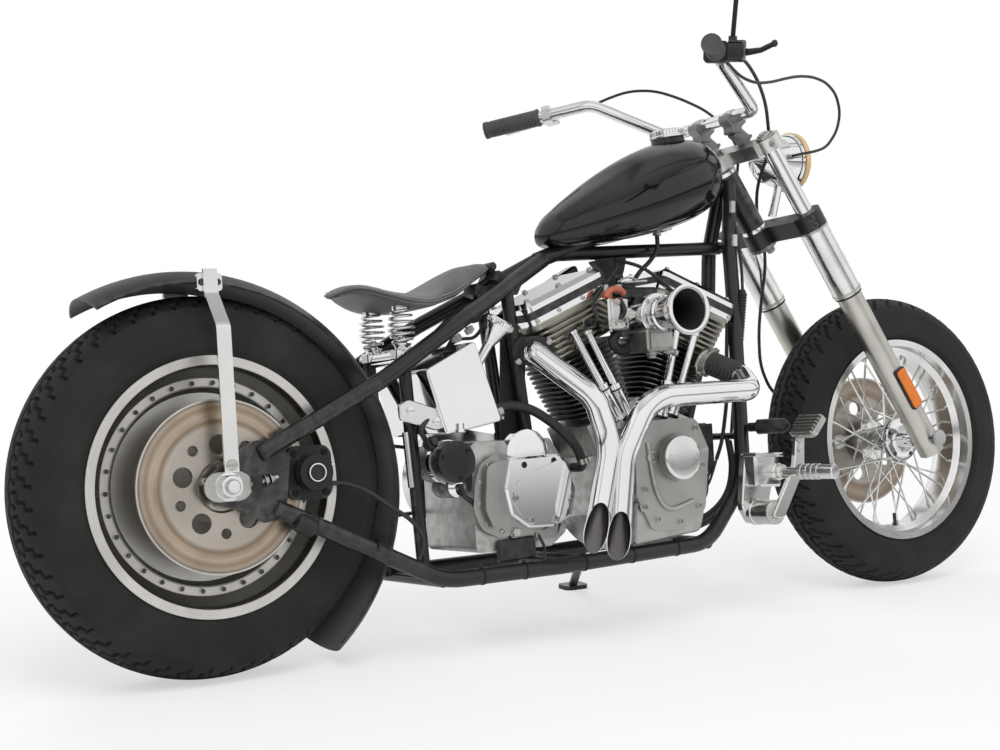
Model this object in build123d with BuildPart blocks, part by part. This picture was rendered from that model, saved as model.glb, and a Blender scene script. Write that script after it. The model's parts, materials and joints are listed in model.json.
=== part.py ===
"""Rigid-framed V-twin chopper motorcycle, parked on its side stand.

Everything is modelled in the upright bike frame (millimetres): +X forward from the rear
axle, +Y to the rider's left, +Z up, and leaned over to the stand when it is written.
"""

import os
from math import cos, radians, sin, tan

from build123d import *

os.makedirs("parts", exist_ok=True)

# ---------------------------------------------------------------- driving dimensions
LEAN = 7.0                # lean to the left on the side stand, degrees
WHEELBASE = 1600.0
RAKE = 31.7               # steering axis from upright, degrees
GAP = 0.3                 # clearance between seated pieces
RUNNING = 0.05            # radial clearance of turning fits

REAR_R = 326.0            # tyre outer radius
REAR_W = 75.0             # tyre half width
REAR_CROWN = 100.0        # radius of the tread's crown
FRONT_R = 316.0
FRONT_W = 62.0
FRONT_CROWN = 76.0
LIP_R = 220.0             # rim lip radius, both wheels
SEAT_R = 209.0            # bead seat radius
REAR_RIM_W = 73.5         # rim half width over the lips
FRONT_RIM_W = 53.0
LIP_T = 3.2               # rim lip thickness

AXLE_R = 12.0
REAR_AXLE_END = 158.0
REAR_HUB = 88.0           # half length of the rear hub
FRONT_HUB = 62.0
FORK_OFFSET = 42.0        # legs and axle ahead of the steering axis
LEG_Y = 120.0             # fork leg distance from the centre plane
TUBE_R = 18.0             # upper fork tube
COVER_R = 31.0            # cover under the lower clamp
SLIDER_R = 27.0           # lower slider
COVER_S = 375.0           # cover's lower edge, up the steering axis
LOW_CLAMP_S = 555.0       # middle of the lower clamp
TOP_CLAMP_S = 726.0       # underside of the top clamp
CLAMP_T = 36.0            # lower clamp thickness
TOP_T = 28.0              # top clamp thickness

FRAME_TUBE = 16.0         # main frame tube radius
THIN_TUBE = 13.5          # down tubes and braces
PLATE_IN = 118.0          # axle plate inner face from the centre plane
PLATE_T = 10.0
RAIL_Y = 125.0            # lower rails
NECK_R = 26.0
NECK_LOW = 580.0          # head tube ends, up the steering axis
NECK_HIGH = 716.0

CRANK_X = 881.0
CRANK_Z = 255.0
V_HALF = 22.5             # half the V angle
DECK_D = 172.0            # crankcase deck from the crank centre
HEAD_D = 312.0            # cylinder top
BOX_D = 393.0             # head top
BOX_TOP = 438.0           # rocker box top
PIPE_R = 22.0             # exhaust pipe

HUB_Z = (REAR_R - REAR_CROWN) + REAR_CROWN / cos(radians(LEAN))
FRONT_Z = (FRONT_R - FRONT_CROWN) + FRONT_CROWN / cos(radians(LEAN))
C, S = cos(radians(RAKE)), sin(radians(RAKE))
STEER = Plane(
    origin=(WHEELBASE - FORK_OFFSET * C, 0, FRONT_Z - FORK_OFFSET * S),
    x_dir=(C, 0, S),
    z_dir=(-S, 0, C),
)
REAR_WHEEL = Plane(origin=(0, 0, HUB_Z), x_dir=(0, 1, 0), z_dir=(1, 0, 0))
FRONT_WHEEL = Plane(origin=(WHEELBASE, 0, FRONT_Z), x_dir=(0, 1, 0), z_dir=(1, 0, 0))
REAR_AXIS = Axis((0, 0, HUB_Z), (0, 1, 0))
FRONT_AXIS = Axis((WHEELBASE, 0, FRONT_Z), (0, 1, 0))
FLOOR_UP = (0, -sin(radians(LEAN)), cos(radians(LEAN)))

# side stand: the leg swings from its parked line to its folded line about the hinge pin
PIVOT = Vector(860.0, 140.0, 112.0)
FOOT_X = 940.0
FOOT_Y = 300.0
FOOT = Vector(FOOT_X, FOOT_Y, FOOT_Y * tan(radians(LEAN)))
FOLDED = Vector(-0.985, 0.17, 0.0)
HINGE = (FOOT - PIVOT).cross(FOLDED).normalized()
EYE_H = 7.0               # half height of the stand's eye
PIN_R = 6.0

finished = []


def keep(piece, name):
    """Label a finished piece and put it on the list to write."""
    piece.label = name
    finished.append(piece)


def at(plane, u, v, s):
    """A point given in a plane's own coordinates, as a bike-frame tuple."""
    return tuple(plane.from_local_coords((u, v, s)))


def side_plane(y, out=-1):
    """A drawing plane at lateral place y with drawing x = forward and y = up, facing out."""
    if out < 0:
        return Plane(origin=(0, y, 0), x_dir=(1, 0, 0), z_dir=(0, -1, 0))
    return Plane(origin=(0, y, 0), x_dir=(-1, 0, 0), z_dir=(0, 1, 0))


def ring_plane(y):
    """A drawing plane at lateral place y, x forward and y up, whose normal is -Y."""
    return Plane(origin=(0, y, 0), x_dir=(1, 0, 0), z_dir=(0, -1, 0))


def bar_between(a, b, radius, mode=Mode.ADD):
    """A round bar from point a to point b, added to the open part."""
    a, b = Vector(*a), Vector(*b)
    run = b - a
    with BuildSketch(Plane(origin=a, z_dir=run)) as section:
        Circle(radius)
    extrude(section.sketch, amount=run.length, mode=mode)


def bent_bar(points, radii, radius, mode=Mode.ADD):
    """A round bar along straight runs joined by arcs, added to the open part."""
    with BuildLine() as route:
        FilletPolyline(*points, radius=radii)
    start = route.wire()
    with BuildSketch(Plane(origin=start @ 0, z_dir=start % 0)) as section:
        Circle(radius)
    sweep(section.sketch, path=start, mode=mode)


def hose(route, radius, name):
    """A hose or cable: straight runs joined by the largest arcs that its corners allow."""
    route = [Vector(*point) for point in route]
    radii = []
    for a, b, c in zip(route, route[1:], route[2:]):
        half_turn = radians((b - a).get_angle(c - b) / 2)
        radii.append(0.45 * min((b - a).length, (c - b).length) / tan(half_turn))
    print(name, "radii", [round(r) for r in radii])
    with BuildPart() as made:
        bent_bar([tuple(point) for point in route], radii, radius)
    keep(made.part, name)


def wheel_ring(plane, axis, points):
    """A ring turned from a closed outline of (lateral, radius) points."""
    with BuildSketch(plane) as section:
        with BuildLine():
            Polyline(*points, close=True)
        make_face()
    revolve(section.sketch, axis=axis)


def tyre_ring(plane, axis, outer, half, crown, rim_half):
    """A hollow tyre: faceted crown and walls outside, open beads inside."""
    bead = rim_half - LIP_T - GAP
    bead_r = SEAT_R + GAP
    lip_top = LIP_R + 2
    shoulder = half * 0.86
    shoulder_r = outer - crown + (crown**2 - shoulder**2) ** 0.5
    rise = shoulder_r - lip_top
    side = [(shoulder, shoulder_r)]
    for facet in (5, 3, 1):
        turn = radians(facet * LEAN)
        side.append((crown * sin(turn), outer - crown + crown * cos(turn)))
    side.reverse()
    side += [
        (half * 0.97, lip_top + 0.72 * rise), (half, lip_top + 0.42 * rise),
        (half * 0.985, lip_top + 0.15 * rise), (bead, lip_top), (bead, bead_r),
        (bead - 12, bead_r), (half - 11, lip_top + 0.42 * rise),
        (shoulder - 6, shoulder_r - 12), (0, outer - 16),
    ]
    wheel_ring(plane, axis, side + [(-y, r) for y, r in reversed(side[:-1])])


# ---------------------------------------------------------------- rear wheel
with BuildPart() as rear_tyre:
    tyre_ring(REAR_WHEEL, REAR_AXIS, REAR_R, REAR_W, REAR_CROWN, REAR_RIM_W)
keep(rear_tyre.part, "rear_tyre")

WEB_Y = -12.0             # web face on the right side
WEB_T = 8.0
BOLT_RING = 176.0
RING_N = 30
REAR_HUB_R = 34.0
ROTOR_IN = 94.0           # rotor inner face from the centre plane
ROTOR_T = 6.0
ROTOR_R = 146.0
PULLEY_R = 104.0
BELT_IN = 84.0
BELT_OUT = 103.0

with BuildPart() as rear_wheel:
    # barrel with lips, stepped in towards the well
    wheel_ring(
        REAR_WHEEL,
        REAR_AXIS,
        [
            (-REAR_RIM_W, LIP_R), (-REAR_RIM_W + LIP_T, LIP_R), (-REAR_RIM_W + LIP_T, SEAT_R),
            (-48, SEAT_R), (-38, 194), (38, 194), (48, SEAT_R), (REAR_RIM_W - LIP_T, SEAT_R),
            (REAR_RIM_W - LIP_T, LIP_R), (REAR_RIM_W, LIP_R), (REAR_RIM_W, 204), (50, 201),
            (34, 184), (WEB_Y + WEB_T, 184), (WEB_Y + WEB_T, REAR_HUB_R), (REAR_HUB - 6, REAR_HUB_R),
            (REAR_HUB - 6, AXLE_R + RUNNING), (-REAR_HUB, AXLE_R + RUNNING),
            (-REAR_HUB, REAR_HUB_R), (WEB_Y - 4, 60), (WEB_Y, 160), (-30, 168), (-30, 184),
            (-50, 201), (-REAR_RIM_W, 204),
        ],
    )
    # ring of bolt heads on the inner flange
    with BuildSketch(ring_plane(-30)):
        with Locations((0, HUB_Z)):
            with PolarLocations(BOLT_RING, RING_N):
                RegularPolygon(4.5, 6)
    extrude(amount=4)
keep(rear_wheel.part, "rear_wheel")

with BuildPart() as rear_rotor:
    wheel_ring(
        REAR_WHEEL,
        REAR_AXIS,
        [
            (-ROTOR_IN, ROTOR_R), (-ROTOR_IN - ROTOR_T, ROTOR_R), (-ROTOR_IN - ROTOR_T, 118),
            (-ROTOR_IN - ROTOR_T - 3, 112), (-ROTOR_IN - ROTOR_T - 3, 44),
            (-ROTOR_IN - ROTOR_T, 40), (-ROTOR_IN - ROTOR_T, AXLE_R + 8), (-REAR_HUB - GAP, AXLE_R + 8),
            (-REAR_HUB - GAP, 50), (-ROTOR_IN, 112),
        ],
    )
    with BuildSketch(ring_plane(-REAR_HUB)):
        with Locations((0, HUB_Z)):
            with PolarLocations(70, 5, start_angle=20):
                Circle(17)
            with PolarLocations(78, 5, start_angle=56):
                Circle(9)
    extrude(amount=ROTOR_T * 6, mode=Mode.SUBTRACT)
    with BuildSketch(ring_plane(-ROTOR_IN - ROTOR_T)):
        with Locations((0, HUB_Z)):
            with PolarLocations(33, 5, start_angle=90):
                RegularPolygon(7, 6)
    extrude(amount=7)
keep(rear_rotor.part, "rear_rotor")

with BuildPart() as rear_pulley:
    wheel_ring(
        REAR_WHEEL,
        REAR_AXIS,
        [
            (BELT_IN - 1, PULLEY_R + 4), (BELT_IN + 1, PULLEY_R + 4), (BELT_IN + 1, PULLEY_R),
            (BELT_OUT - 1, PULLEY_R), (BELT_OUT - 1, 88), (BELT_IN + 8, 88), (BELT_IN + 8, AXLE_R + 8),
            (BELT_IN - 1, AXLE_R + 8),
        ],
    )
    with BuildSketch(side_plane(BELT_IN - 2, 1)):
        with Locations((0, HUB_Z)):
            with PolarLocations(60, 6):
                Circle(14)
    extrude(amount=BELT_OUT - BELT_IN, mode=Mode.SUBTRACT)
keep(rear_pulley.part, "rear_pulley")

# ---------------------------------------------------------------- front wheel
SPOKES = 40
FLANGE_R = 44.0
FLANGE_Y = 34.0
ROTOR_F_R = 142.0
ROTOR_F_IN = 66.0

with BuildPart() as front_tyre:
    tyre_ring(FRONT_WHEEL, FRONT_AXIS, FRONT_R, FRONT_W, FRONT_CROWN, FRONT_RIM_W)
keep(front_tyre.part, "front_tyre")


def spoke(i):
    """One laced spoke: every other one goes to the other flange, and pairs cross."""
    turn = 360 / SPOKES * i
    side = 1 if i % 2 else -1
    lead = 62 if (i // 2) % 2 else -62
    a, b = radians(turn + lead), radians(turn)
    foot = Vector(WHEELBASE + 39 * cos(a), side * (FLANGE_Y + 2), FRONT_Z + 39 * sin(a))
    tip = Vector(WHEELBASE + 195 * cos(b), side * 8, FRONT_Z + 195 * sin(b))
    run = tip - foot
    return extrude(Plane(origin=foot, z_dir=run) * RegularPolygon(2.3, 6), amount=run.length)


spokes = [spoke(i) for i in range(SPOKES)]
with BuildPart() as front_wheel:
    wheel_ring(
        FRONT_WHEEL,
        FRONT_AXIS,
        [
            (-FRONT_RIM_W, LIP_R), (-FRONT_RIM_W + LIP_T, LIP_R), (-FRONT_RIM_W + LIP_T, SEAT_R),
            (-30, SEAT_R), (-20, 197), (20, 197), (30, SEAT_R), (FRONT_RIM_W - LIP_T, SEAT_R),
            (FRONT_RIM_W - LIP_T, LIP_R), (FRONT_RIM_W, LIP_R), (FRONT_RIM_W, 206),
            (32, 204), (22, 192), (-22, 192), (-32, 204), (-FRONT_RIM_W, 206),
        ],
    )
    wheel_ring(
        FRONT_WHEEL,
        FRONT_AXIS,
        [
            (-FRONT_HUB, AXLE_R + RUNNING), (-FRONT_HUB, 26), (-FLANGE_Y - 6, 30),
            (-FLANGE_Y - 6, FLANGE_R), (-FLANGE_Y, FLANGE_R), (-FLANGE_Y + 6, 24),
            (FLANGE_Y - 6, 24), (FLANGE_Y, FLANGE_R), (FLANGE_Y + 6, FLANGE_R),
            (FLANGE_Y + 6, 30), (FRONT_HUB, 30), (FRONT_HUB, AXLE_R + RUNNING),
        ],
    )
    add(spokes)
keep(front_wheel.part, "front_wheel")

with BuildPart() as front_rotor:
    wheel_ring(
        FRONT_WHEEL,
        FRONT_AXIS,
        [
            (FRONT_HUB + GAP, AXLE_R + 8), (FRONT_HUB + GAP, 60), (ROTOR_F_IN, 100),
            (ROTOR_F_IN, ROTOR_F_R), (ROTOR_F_IN + 5, ROTOR_F_R), (ROTOR_F_IN + 5, AXLE_R + 8),
        ],
    )
    with BuildSketch(side_plane(FRONT_HUB - 1, 1)):
        with Locations((-WHEELBASE, FRONT_Z)):
            with PolarLocations(76, 5):
                Circle(16)
    extrude(amount=20, mode=Mode.SUBTRACT)
keep(front_rotor.part, "front_rotor")

# ---------------------------------------------------------------- frame
AXLE_PLATE = [(-30, 300), (-34, 340), (0, 372), (52, 400), (84, 396), (112, 372), (104, 300),
              (96, 268), (60, 262), (20, 288)]
UPPER_REAR = [(62, -RAIL_Y, 378), (300, -114, 492), (470, -98, 592), (712, -14, 716)]
RAIL_BEND_Y = 116.0       # lower tubes where they turn up to the neck
LOWER_LOOP = [(82, -RAIL_Y, 286), (394, -RAIL_Y, 132), (640, -RAIL_Y, 134), (985, -RAIL_Y, 146),
              (1092, -RAIL_BEND_Y, 262), (1156, -44, 600), (1162, -34, 740), (1190, -14, 880)]
SEAT_TUBE_Z = 535.0
POST_Y = 45.0
GEARBOX_TOP = 372.0
REGULATOR_X = 1040.0
REGULATOR_Z = 330.0
BACKBONE_START = (706, 0, 716)
BACKBONE_END = at(STEER, 0, 0, 690)

with BuildPart() as frame_tubes:
    bent_bar(UPPER_REAR, [260, 260], FRAME_TUBE - 1)
    bent_bar(LOWER_LOOP, [150, 300, 90, 150, 200, 200], FRAME_TUBE - 1)
    with BuildSketch(ring_plane(-PLATE_IN)):
        with BuildLine():
            Polyline(*AXLE_PLATE, close=True)
        make_face()
        fillet(vertices(), 9)
        with Locations((0, HUB_Z)):
            SlotCenterToCenter(24, 2 * AXLE_R + 1, mode=Mode.SUBTRACT)
    extrude(amount=PLATE_T)
    # rear posts between the upper and lower tubes, and front posts down to the gearbox
    bar_between((366, -70, SEAT_TUBE_Z), (384, -70, 132), 12)
    bar_between((604, -48, 656), (631, -POST_Y, GEARBOX_TOP + 8), THIN_TUBE - 1)
    bar_between((631, -POST_Y, GEARBOX_TOP + 14), (631, -POST_Y, GEARBOX_TOP + GAP), THIN_TUBE + 2)
    # regulator's cross bar and its two studs
    bar_between((1108, -98, REGULATOR_Z + 20), (1108, 0, REGULATOR_Z + 20), 7)
    bar_between((1108, -8, REGULATOR_Z + 20), (REGULATOR_X + 16 + GAP, -8, REGULATOR_Z + 20), 4)
    mirror(about=Plane.XZ)
    # head tube, backbone, brace and cross tubes
    bar_between(at(STEER, 0, 0, NECK_LOW), at(STEER, 0, 0, NECK_HIGH), NECK_R)
    bar_between(BACKBONE_START, BACKBONE_END, FRAME_TUBE)
    bar_between((740, 0, 728), (1162, 0, 744), THIN_TUBE)
    bar_between((1162, -34, 744), (1162, 34, 744), 12)
    bar_between((371, -106, SEAT_TUBE_Z), (371, 106, SEAT_TUBE_Z), 12)
    bar_between((392, -RAIL_Y, 132), (392, RAIL_Y, 132), 12)
    bar_between((985, -RAIL_Y, 146), (985, RAIL_Y, 146), 12)
    bar_between((700, -RAIL_Y, 136), (700, RAIL_Y, 136), 12)
    # side stand lug, pin and pin head
    bar_between(tuple(PIVOT + HINGE * (EYE_H + GAP)), tuple(PIVOT + HINGE * 30), 14)
    bar_between(tuple(PIVOT + HINGE * (EYE_H + 1)), tuple(PIVOT - HINGE * (EYE_H + 3)), PIN_R)
    bar_between(tuple(PIVOT - HINGE * (EYE_H + GAP)), tuple(PIVOT - HINGE * (EYE_H + 5)), 10)
    # steering head bored for the stem
    bar_between(at(STEER, 0, 0, NECK_LOW - 1), at(STEER, 0, 0, NECK_HIGH + 1), 14, mode=Mode.SUBTRACT)
keep(frame_tubes.part, "frame_tubes")

with BuildPart() as rear_axle:
    wheel_ring(
        REAR_WHEEL,
        REAR_AXIS,
        [
            (-REAR_AXLE_END, 0), (-REAR_AXLE_END, AXLE_R - 2), (-REAR_AXLE_END + 4, AXLE_R),
            (-150, AXLE_R), (-150, 18), (-134, 18), (-134, 24), (-PLATE_IN - PLATE_T - GAP, 24),
            (-PLATE_IN - PLATE_T - GAP, AXLE_R), (-PLATE_IN + GAP, AXLE_R), (-PLATE_IN + GAP, 19),
            (-REAR_HUB - 19, 19), (-REAR_HUB - 19, AXLE_R), (BELT_OUT + 6, AXLE_R),
            (BELT_OUT + 6, 19), (PLATE_IN - GAP, 19), (PLATE_IN - GAP, AXLE_R),
            (PLATE_IN + PLATE_T + GAP, AXLE_R), (PLATE_IN + PLATE_T + GAP, 24), (134, 24), (134, 18),
            (146, 18), (146, 0),
        ],
    )
keep(rear_axle.part, "rear_axle")

CALIPER = (152, 340)
with BuildPart() as rear_caliper:
    with BuildSketch(ring_plane(-70)):
        with Locations(CALIPER):
            RectangleRounded(82, 92, 20)
    extrude(amount=46)
    with BuildSketch(ring_plane(-ROTOR_IN + 3)):
        with Locations((0, HUB_Z)):
            Circle(ROTOR_R + 4)
    extrude(amount=ROTOR_T + 6, mode=Mode.SUBTRACT)
    with BuildSketch(ring_plane(-116)):
        with Locations(CALIPER):
            Circle(30)
    extrude(amount=30)
    with BuildSketch(ring_plane(-146)):
        with Locations(CALIPER):
            Circle(16)
    extrude(amount=3)
keep(rear_caliper.part, "rear_caliper")

FENDER_C = (-20.0, 312.0)
FENDER_CROWN = 383.0
FENDER_EDGE = 357.0
FENDER_HALF = 80.0
FENDER_T = 3.0
with BuildPart() as rear_fender:
    with BuildSketch(Plane(origin=(FENDER_C[0], 0, FENDER_C[1]), x_dir=(0, 1, 0), z_dir=(1, 0, 0))):
        with BuildLine():
            ThreePointArc((-FENDER_HALF, FENDER_EDGE), (0, FENDER_CROWN), (FENDER_HALF, FENDER_EDGE))
            Line((FENDER_HALF, FENDER_EDGE), (FENDER_HALF - FENDER_T, FENDER_EDGE - FENDER_T))
            ThreePointArc(
                (FENDER_HALF - FENDER_T, FENDER_EDGE - FENDER_T),
                (0, FENDER_CROWN - FENDER_T),
                (FENDER_T - FENDER_HALF, FENDER_EDGE - FENDER_T),
            )
            Line((FENDER_T - FENDER_HALF, FENDER_EDGE - FENDER_T), (-FENDER_HALF, FENDER_EDGE))
        make_face()
    revolve(axis=Axis((FENDER_C[0], 0, FENDER_C[1]), (0, 1, 0)), revolution_arc=168)
FENDER_TAIL = -28.0       # tail end behind the top, degrees
rear_fender.part = rear_fender.part.rotate(
    Axis((FENDER_C[0], 0, FENDER_C[1]), (0, 1, 0)), FENDER_TAIL
)
keep(rear_fender.part, "rear_fender")

STRUT_T = 5.0
STRUT_W = 25.0
STRUT_OUT = PLATE_IN + PLATE_T + 16
STRUT_TOP = FENDER_HALF + GAP + 9 + STRUT_T / 2
with BuildPart() as fender_struts:
    # flat bar, straight up from the axle plate and cranked in to the fender
    with BuildSketch(Plane(origin=(2, 0, 0), x_dir=(0, 1, 0), z_dir=(1, 0, 0))):
        with BuildLine() as crank:
            FilletPolyline((-STRUT_OUT, 350), (-STRUT_OUT + 4, 590), (-STRUT_TOP, 650), (-STRUT_TOP, 690),
                           radius=18)
        trace(crank.line, line_width=STRUT_T)
    extrude(amount=STRUT_W / 2, both=True)
    with BuildSketch(ring_plane(-FENDER_HALF - GAP)):
        with Locations((2, 668)):
            RectangleRounded(44, 30, 6)
    extrude(amount=9)
    bar_between((2, -PLATE_IN - PLATE_T - GAP, 362), (2, -STRUT_OUT, 362), 9)
    mirror(about=Plane.XZ)
keep(fender_struts.part, "fender_struts")

# ---------------------------------------------------------------- seat
# saddle stations: place, half width, underside, edge and crown heights
SADDLE = [
    # x, w, z_low, z_edge, z_top
    (262, 34, 632, 640, 650),
    (300, 96, 612, 634, 664),
    (350, 124, 606, 628, 672),
    (400, 116, 612, 634, 670),
    (460, 76, 634, 652, 668),
    (520, 46, 652, 668, 684),
    (606, 20, 686, 692, 700),
]
with BuildPart() as seat:
    for x, w, z_low, z_edge, z_top in SADDLE:
        with BuildSketch(Plane(origin=(x, 0, 0), x_dir=(0, 1, 0), z_dir=(1, 0, 0))):
            with BuildLine():
                Polyline((-w, z_edge), (-w * 0.9, z_low), (w * 0.9, z_low), (w, z_edge))
                ThreePointArc((w, z_edge), (0, z_top), (-w, z_edge))
            make_face()
    loft()
keep(seat.part, "seat")

SPRING_Y = 60.0
SPRING_R = 22.0           # barrel radius at the middle coil
SPRING_LOW = 568.0
COIL = 8.35               # pitch
with BuildPart() as seat_springs:
    for y in (-SPRING_Y, SPRING_Y):
        with BuildSketch(Plane(origin=(371, y, 0), x_dir=(1, 0, 0), z_dir=(0, -1, 0))) as barrel:
            with BuildLine():
                Polyline(
                    (0, SEAT_TUBE_Z + 12 + GAP), (15, SEAT_TUBE_Z + 12 + GAP), (15, SPRING_LOW),
                    (SPRING_R - 2, SPRING_LOW), (SPRING_R - 5, SPRING_LOW + COIL),
                    (SPRING_R, SPRING_LOW + 1.5 * COIL), (SPRING_R - 5, SPRING_LOW + 2 * COIL),
                    (SPRING_R + 1, SPRING_LOW + 2.5 * COIL), (SPRING_R - 5, SPRING_LOW + 3 * COIL),
                    (SPRING_R, SPRING_LOW + 3.5 * COIL), (SPRING_R - 5, SPRING_LOW + 4 * COIL),
                    (SPRING_R - 3, SPRING_LOW + 4.5 * COIL), (0, SPRING_LOW + 4.5 * COIL), close=True,
                )
            make_face()
        revolve(barrel.sketch, axis=Axis((371, y, 0), (0, 0, 1)))
keep(seat_springs.part, "seat_springs")

# ---------------------------------------------------------------- oil tank, starter, gearbox
OIL_TANK = [(384, 506), (488, 556), (536, 408), (418, 388)]
with BuildPart() as oil_tank:
    with BuildSketch(ring_plane(90)):
        with BuildLine():
            Polyline(*OIL_TANK, close=True)
        make_face()
        fillet(vertices(), 6)
    extrude(amount=210)
    fillet(oil_tank.faces().sort_by(Axis.Y)[0].edges(), 4)
    neck = Plane(origin=(496, -80, 492), z_dir=(34, -24, 64))
    bar_between(neck.origin, at(neck, 0, 0, 80), 9)
    with BuildSketch(neck.offset(70)):
        Circle(10.5)
    with BuildSketch(neck.offset(108)):
        Circle(24)
    loft()
keep(oil_tank.part, "oil_tank")

with BuildPart() as starter:
    with BuildSketch(ring_plane(-40)):
        with Locations((431.6, 340)):
            Circle(38)
    extrude(amount=84)
    with BuildSketch(ring_plane(-40)):
        with Locations((444, 294)):
            Circle(20)
    extrude(amount=60)
keep(starter.part, "starter")

GEARBOX = [(470, GEARBOX_TOP), (640, GEARBOX_TOP), (664, 330), (664, 196), (630, 172), (470, 172), (470, 300)]
with BuildPart() as gearbox:
    with BuildSketch(ring_plane(74)):
        with BuildLine():
            Polyline(*GEARBOX, close=True)
        make_face()
        fillet(vertices(), 12)
    extrude(amount=74 + 112)
keep(gearbox.part, "gearbox")

COVER_FACE = [(530, 340), (638, 342), (668, 276), (656, 228), (618, 210), (562, 212), (526, 238),
              (516, 286)]
with BuildPart() as gearbox_cover:
    with BuildSketch(ring_plane(-112)):
        with BuildLine():
            Polyline(*COVER_FACE, close=True)
        make_face()
        fillet(vertices(), 12)
    extrude(amount=38)
    chamfer(gearbox_cover.faces().sort_by(Axis.Y)[0].edges(), 4)
    # half-round release cover above it, and the two plug holes
    with BuildSketch(ring_plane(-112)):
        with Locations((576, 346)):
            Circle(43)
    extrude(amount=24)
    with BuildSketch(ring_plane(-144)):
        with Locations((558, 326), (622, 330)):
            Circle(6)
    extrude(amount=10, mode=Mode.SUBTRACT)
keep(gearbox_cover.part, "gearbox_cover")

# ---------------------------------------------------------------- engine
CYLINDER_W = 74.0         # fin half width
CASE_HALF = 72.0
with BuildPart() as crankcase:
    with BuildSketch(ring_plane(CASE_HALF)):
        with Locations((CRANK_X, CRANK_Z)):
            Circle(118)
            for turn in (V_HALF, -V_HALF):
                with Locations(Location((0, 0), turn)):
                    with Locations((0, DECK_D / 2)):
                        Rectangle(136, DECK_D)
        with Locations((CRANK_X - 130, CRANK_Z + 20)):
            Rectangle(110, 110)
    extrude(amount=2 * CASE_HALF)
keep(crankcase.part, "crankcase")

CAM = (905, 318)
with BuildPart() as cam_cover:
    with BuildSketch(ring_plane(-CASE_HALF - GAP)):
        with BuildLine():
            Polyline((812, 392), (958, 392), (985, 330), (968, 214), (905, 176), (838, 184), (806, 250), close=True)
        make_face()
        fillet(vertices(), 20)
    extrude(amount=74)
    # tappet blocks under the pushrod tubes
    with BuildSketch(Plane.XY.offset(380)):
        with Locations((825, -96), (925, -96)):
            RectangleRounded(60, 34, 6)
    extrude(amount=12.6)
    with BuildSketch(ring_plane(-146)):
        with Locations(CAM):
            Circle(46)
    extrude(amount=14)
    with BuildSketch(ring_plane(-160)):
        with Locations(CAM):
            Circle(41)
    extrude(amount=7)
keep(cam_cover.part, "cam_cover")


def bank(turn, d):
    """A drawing plane square to one cylinder's axis, d up it; turn is its tilt, + backwards."""
    a = radians(turn)
    axis = (-sin(a), 0, cos(a))
    origin = (CRANK_X + d * axis[0], 0, CRANK_Z + d * axis[2])
    return Plane(origin=origin, x_dir=(cos(a), 0, sin(a)), z_dir=axis)


FIN_N = 12
FIN_T = 2.4
FIN_PITCH = (HEAD_D - DECK_D - 14) / FIN_N
with BuildPart() as cylinders:
    for turn in (V_HALF, -V_HALF):
        with BuildSketch(bank(turn, DECK_D + GAP)):
            Circle(56)
        extrude(amount=HEAD_D - DECK_D - 2 * GAP)
        for i in range(FIN_N):
            with BuildSketch(bank(turn, DECK_D + 12 + i * FIN_PITCH)):
                RectangleRounded(124 + 2.4 * i, 2 * CYLINDER_W, 30)
            extrude(amount=FIN_T)
keep(cylinders.part, "cylinders")

HEAD_FINS = 6
PORT_D = 330.0            # intake port up the cylinder's axis
PORT_R = 18.0
PORT_FACE = 65.0          # port face from the cylinder's axis
INTAKE = (881.0, 0.0, 612.0)
with BuildPart() as heads:
    for turn in (V_HALF, -V_HALF):
        with BuildSketch(bank(turn, HEAD_D)):
            RectangleRounded(2 * PORT_FACE, 120, 24)
        extrude(amount=BOX_D - HEAD_D)
        for i in range(HEAD_FINS):
            with BuildSketch(bank(turn, HEAD_D + 3 + i * 11)):
                RectangleRounded(158 + 5 * i, 150, 26)
            extrude(amount=4)
        with BuildSketch(bank(turn, BOX_D - 12)):
            RectangleRounded(190, 150, 20)
        extrude(amount=12)
        port = bank(turn, PORT_D).from_local_coords((PORT_FACE * (1 if turn > 0 else -1), 0, 0))
        bar_between(INTAKE, tuple(port), PORT_R + GAP, mode=Mode.SUBTRACT)
keep(heads.part, "heads")

BAND_D = BOX_D + 15       # recessed band of the rocker box
with BuildPart() as rocker_boxes:
    for turn in (V_HALF, -V_HALF):
        for low, high, inset in ((BOX_D + GAP, BAND_D, 0), (BAND_D, BAND_D + 8, 6), (BAND_D + 8, BOX_TOP, 0)):
            with BuildSketch(bank(turn, low)):
                RectangleRounded(194 - 2 * inset, 158 - 2 * inset, 14)
            extrude(amount=high - low)
        top = bank(turn, BOX_TOP)
        lid = rocker_boxes.faces().filter_by(top).sort_by(
            lambda face, axis=top.z_dir: face.center().dot(axis))[-1]
        chamfer(lid.edges(), 9)
keep(rocker_boxes.part, "rocker_boxes")

# pushrod tubes: foot and top of each, in the side view, with their lateral places
PUSHRODS = [
    # x_low, y_low, z_low, x_top, y_top, z_top
    (812, -96, 398, 722, -86, 572),
    (838, -96, 398, 756, -86, 572),
    (912, -96, 396.9, 972, -86, 572),
    (938, -96, 398, 1016, -86, 560),
]
with BuildPart() as pushrod_tubes:
    for x0, y0, z0, x1, y1, z1 in PUSHRODS:
        bar_between((x0, y0, z0), (x1, y1, z1), 8)
        mid = ((x0 * 2 + x1) / 3, (y0 * 2 + y1) / 3, (z0 * 2 + z1) / 3)
        bar_between((x0, y0, z0), mid, 11)
keep(pushrod_tubes.part, "pushrod_tubes")

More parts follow.
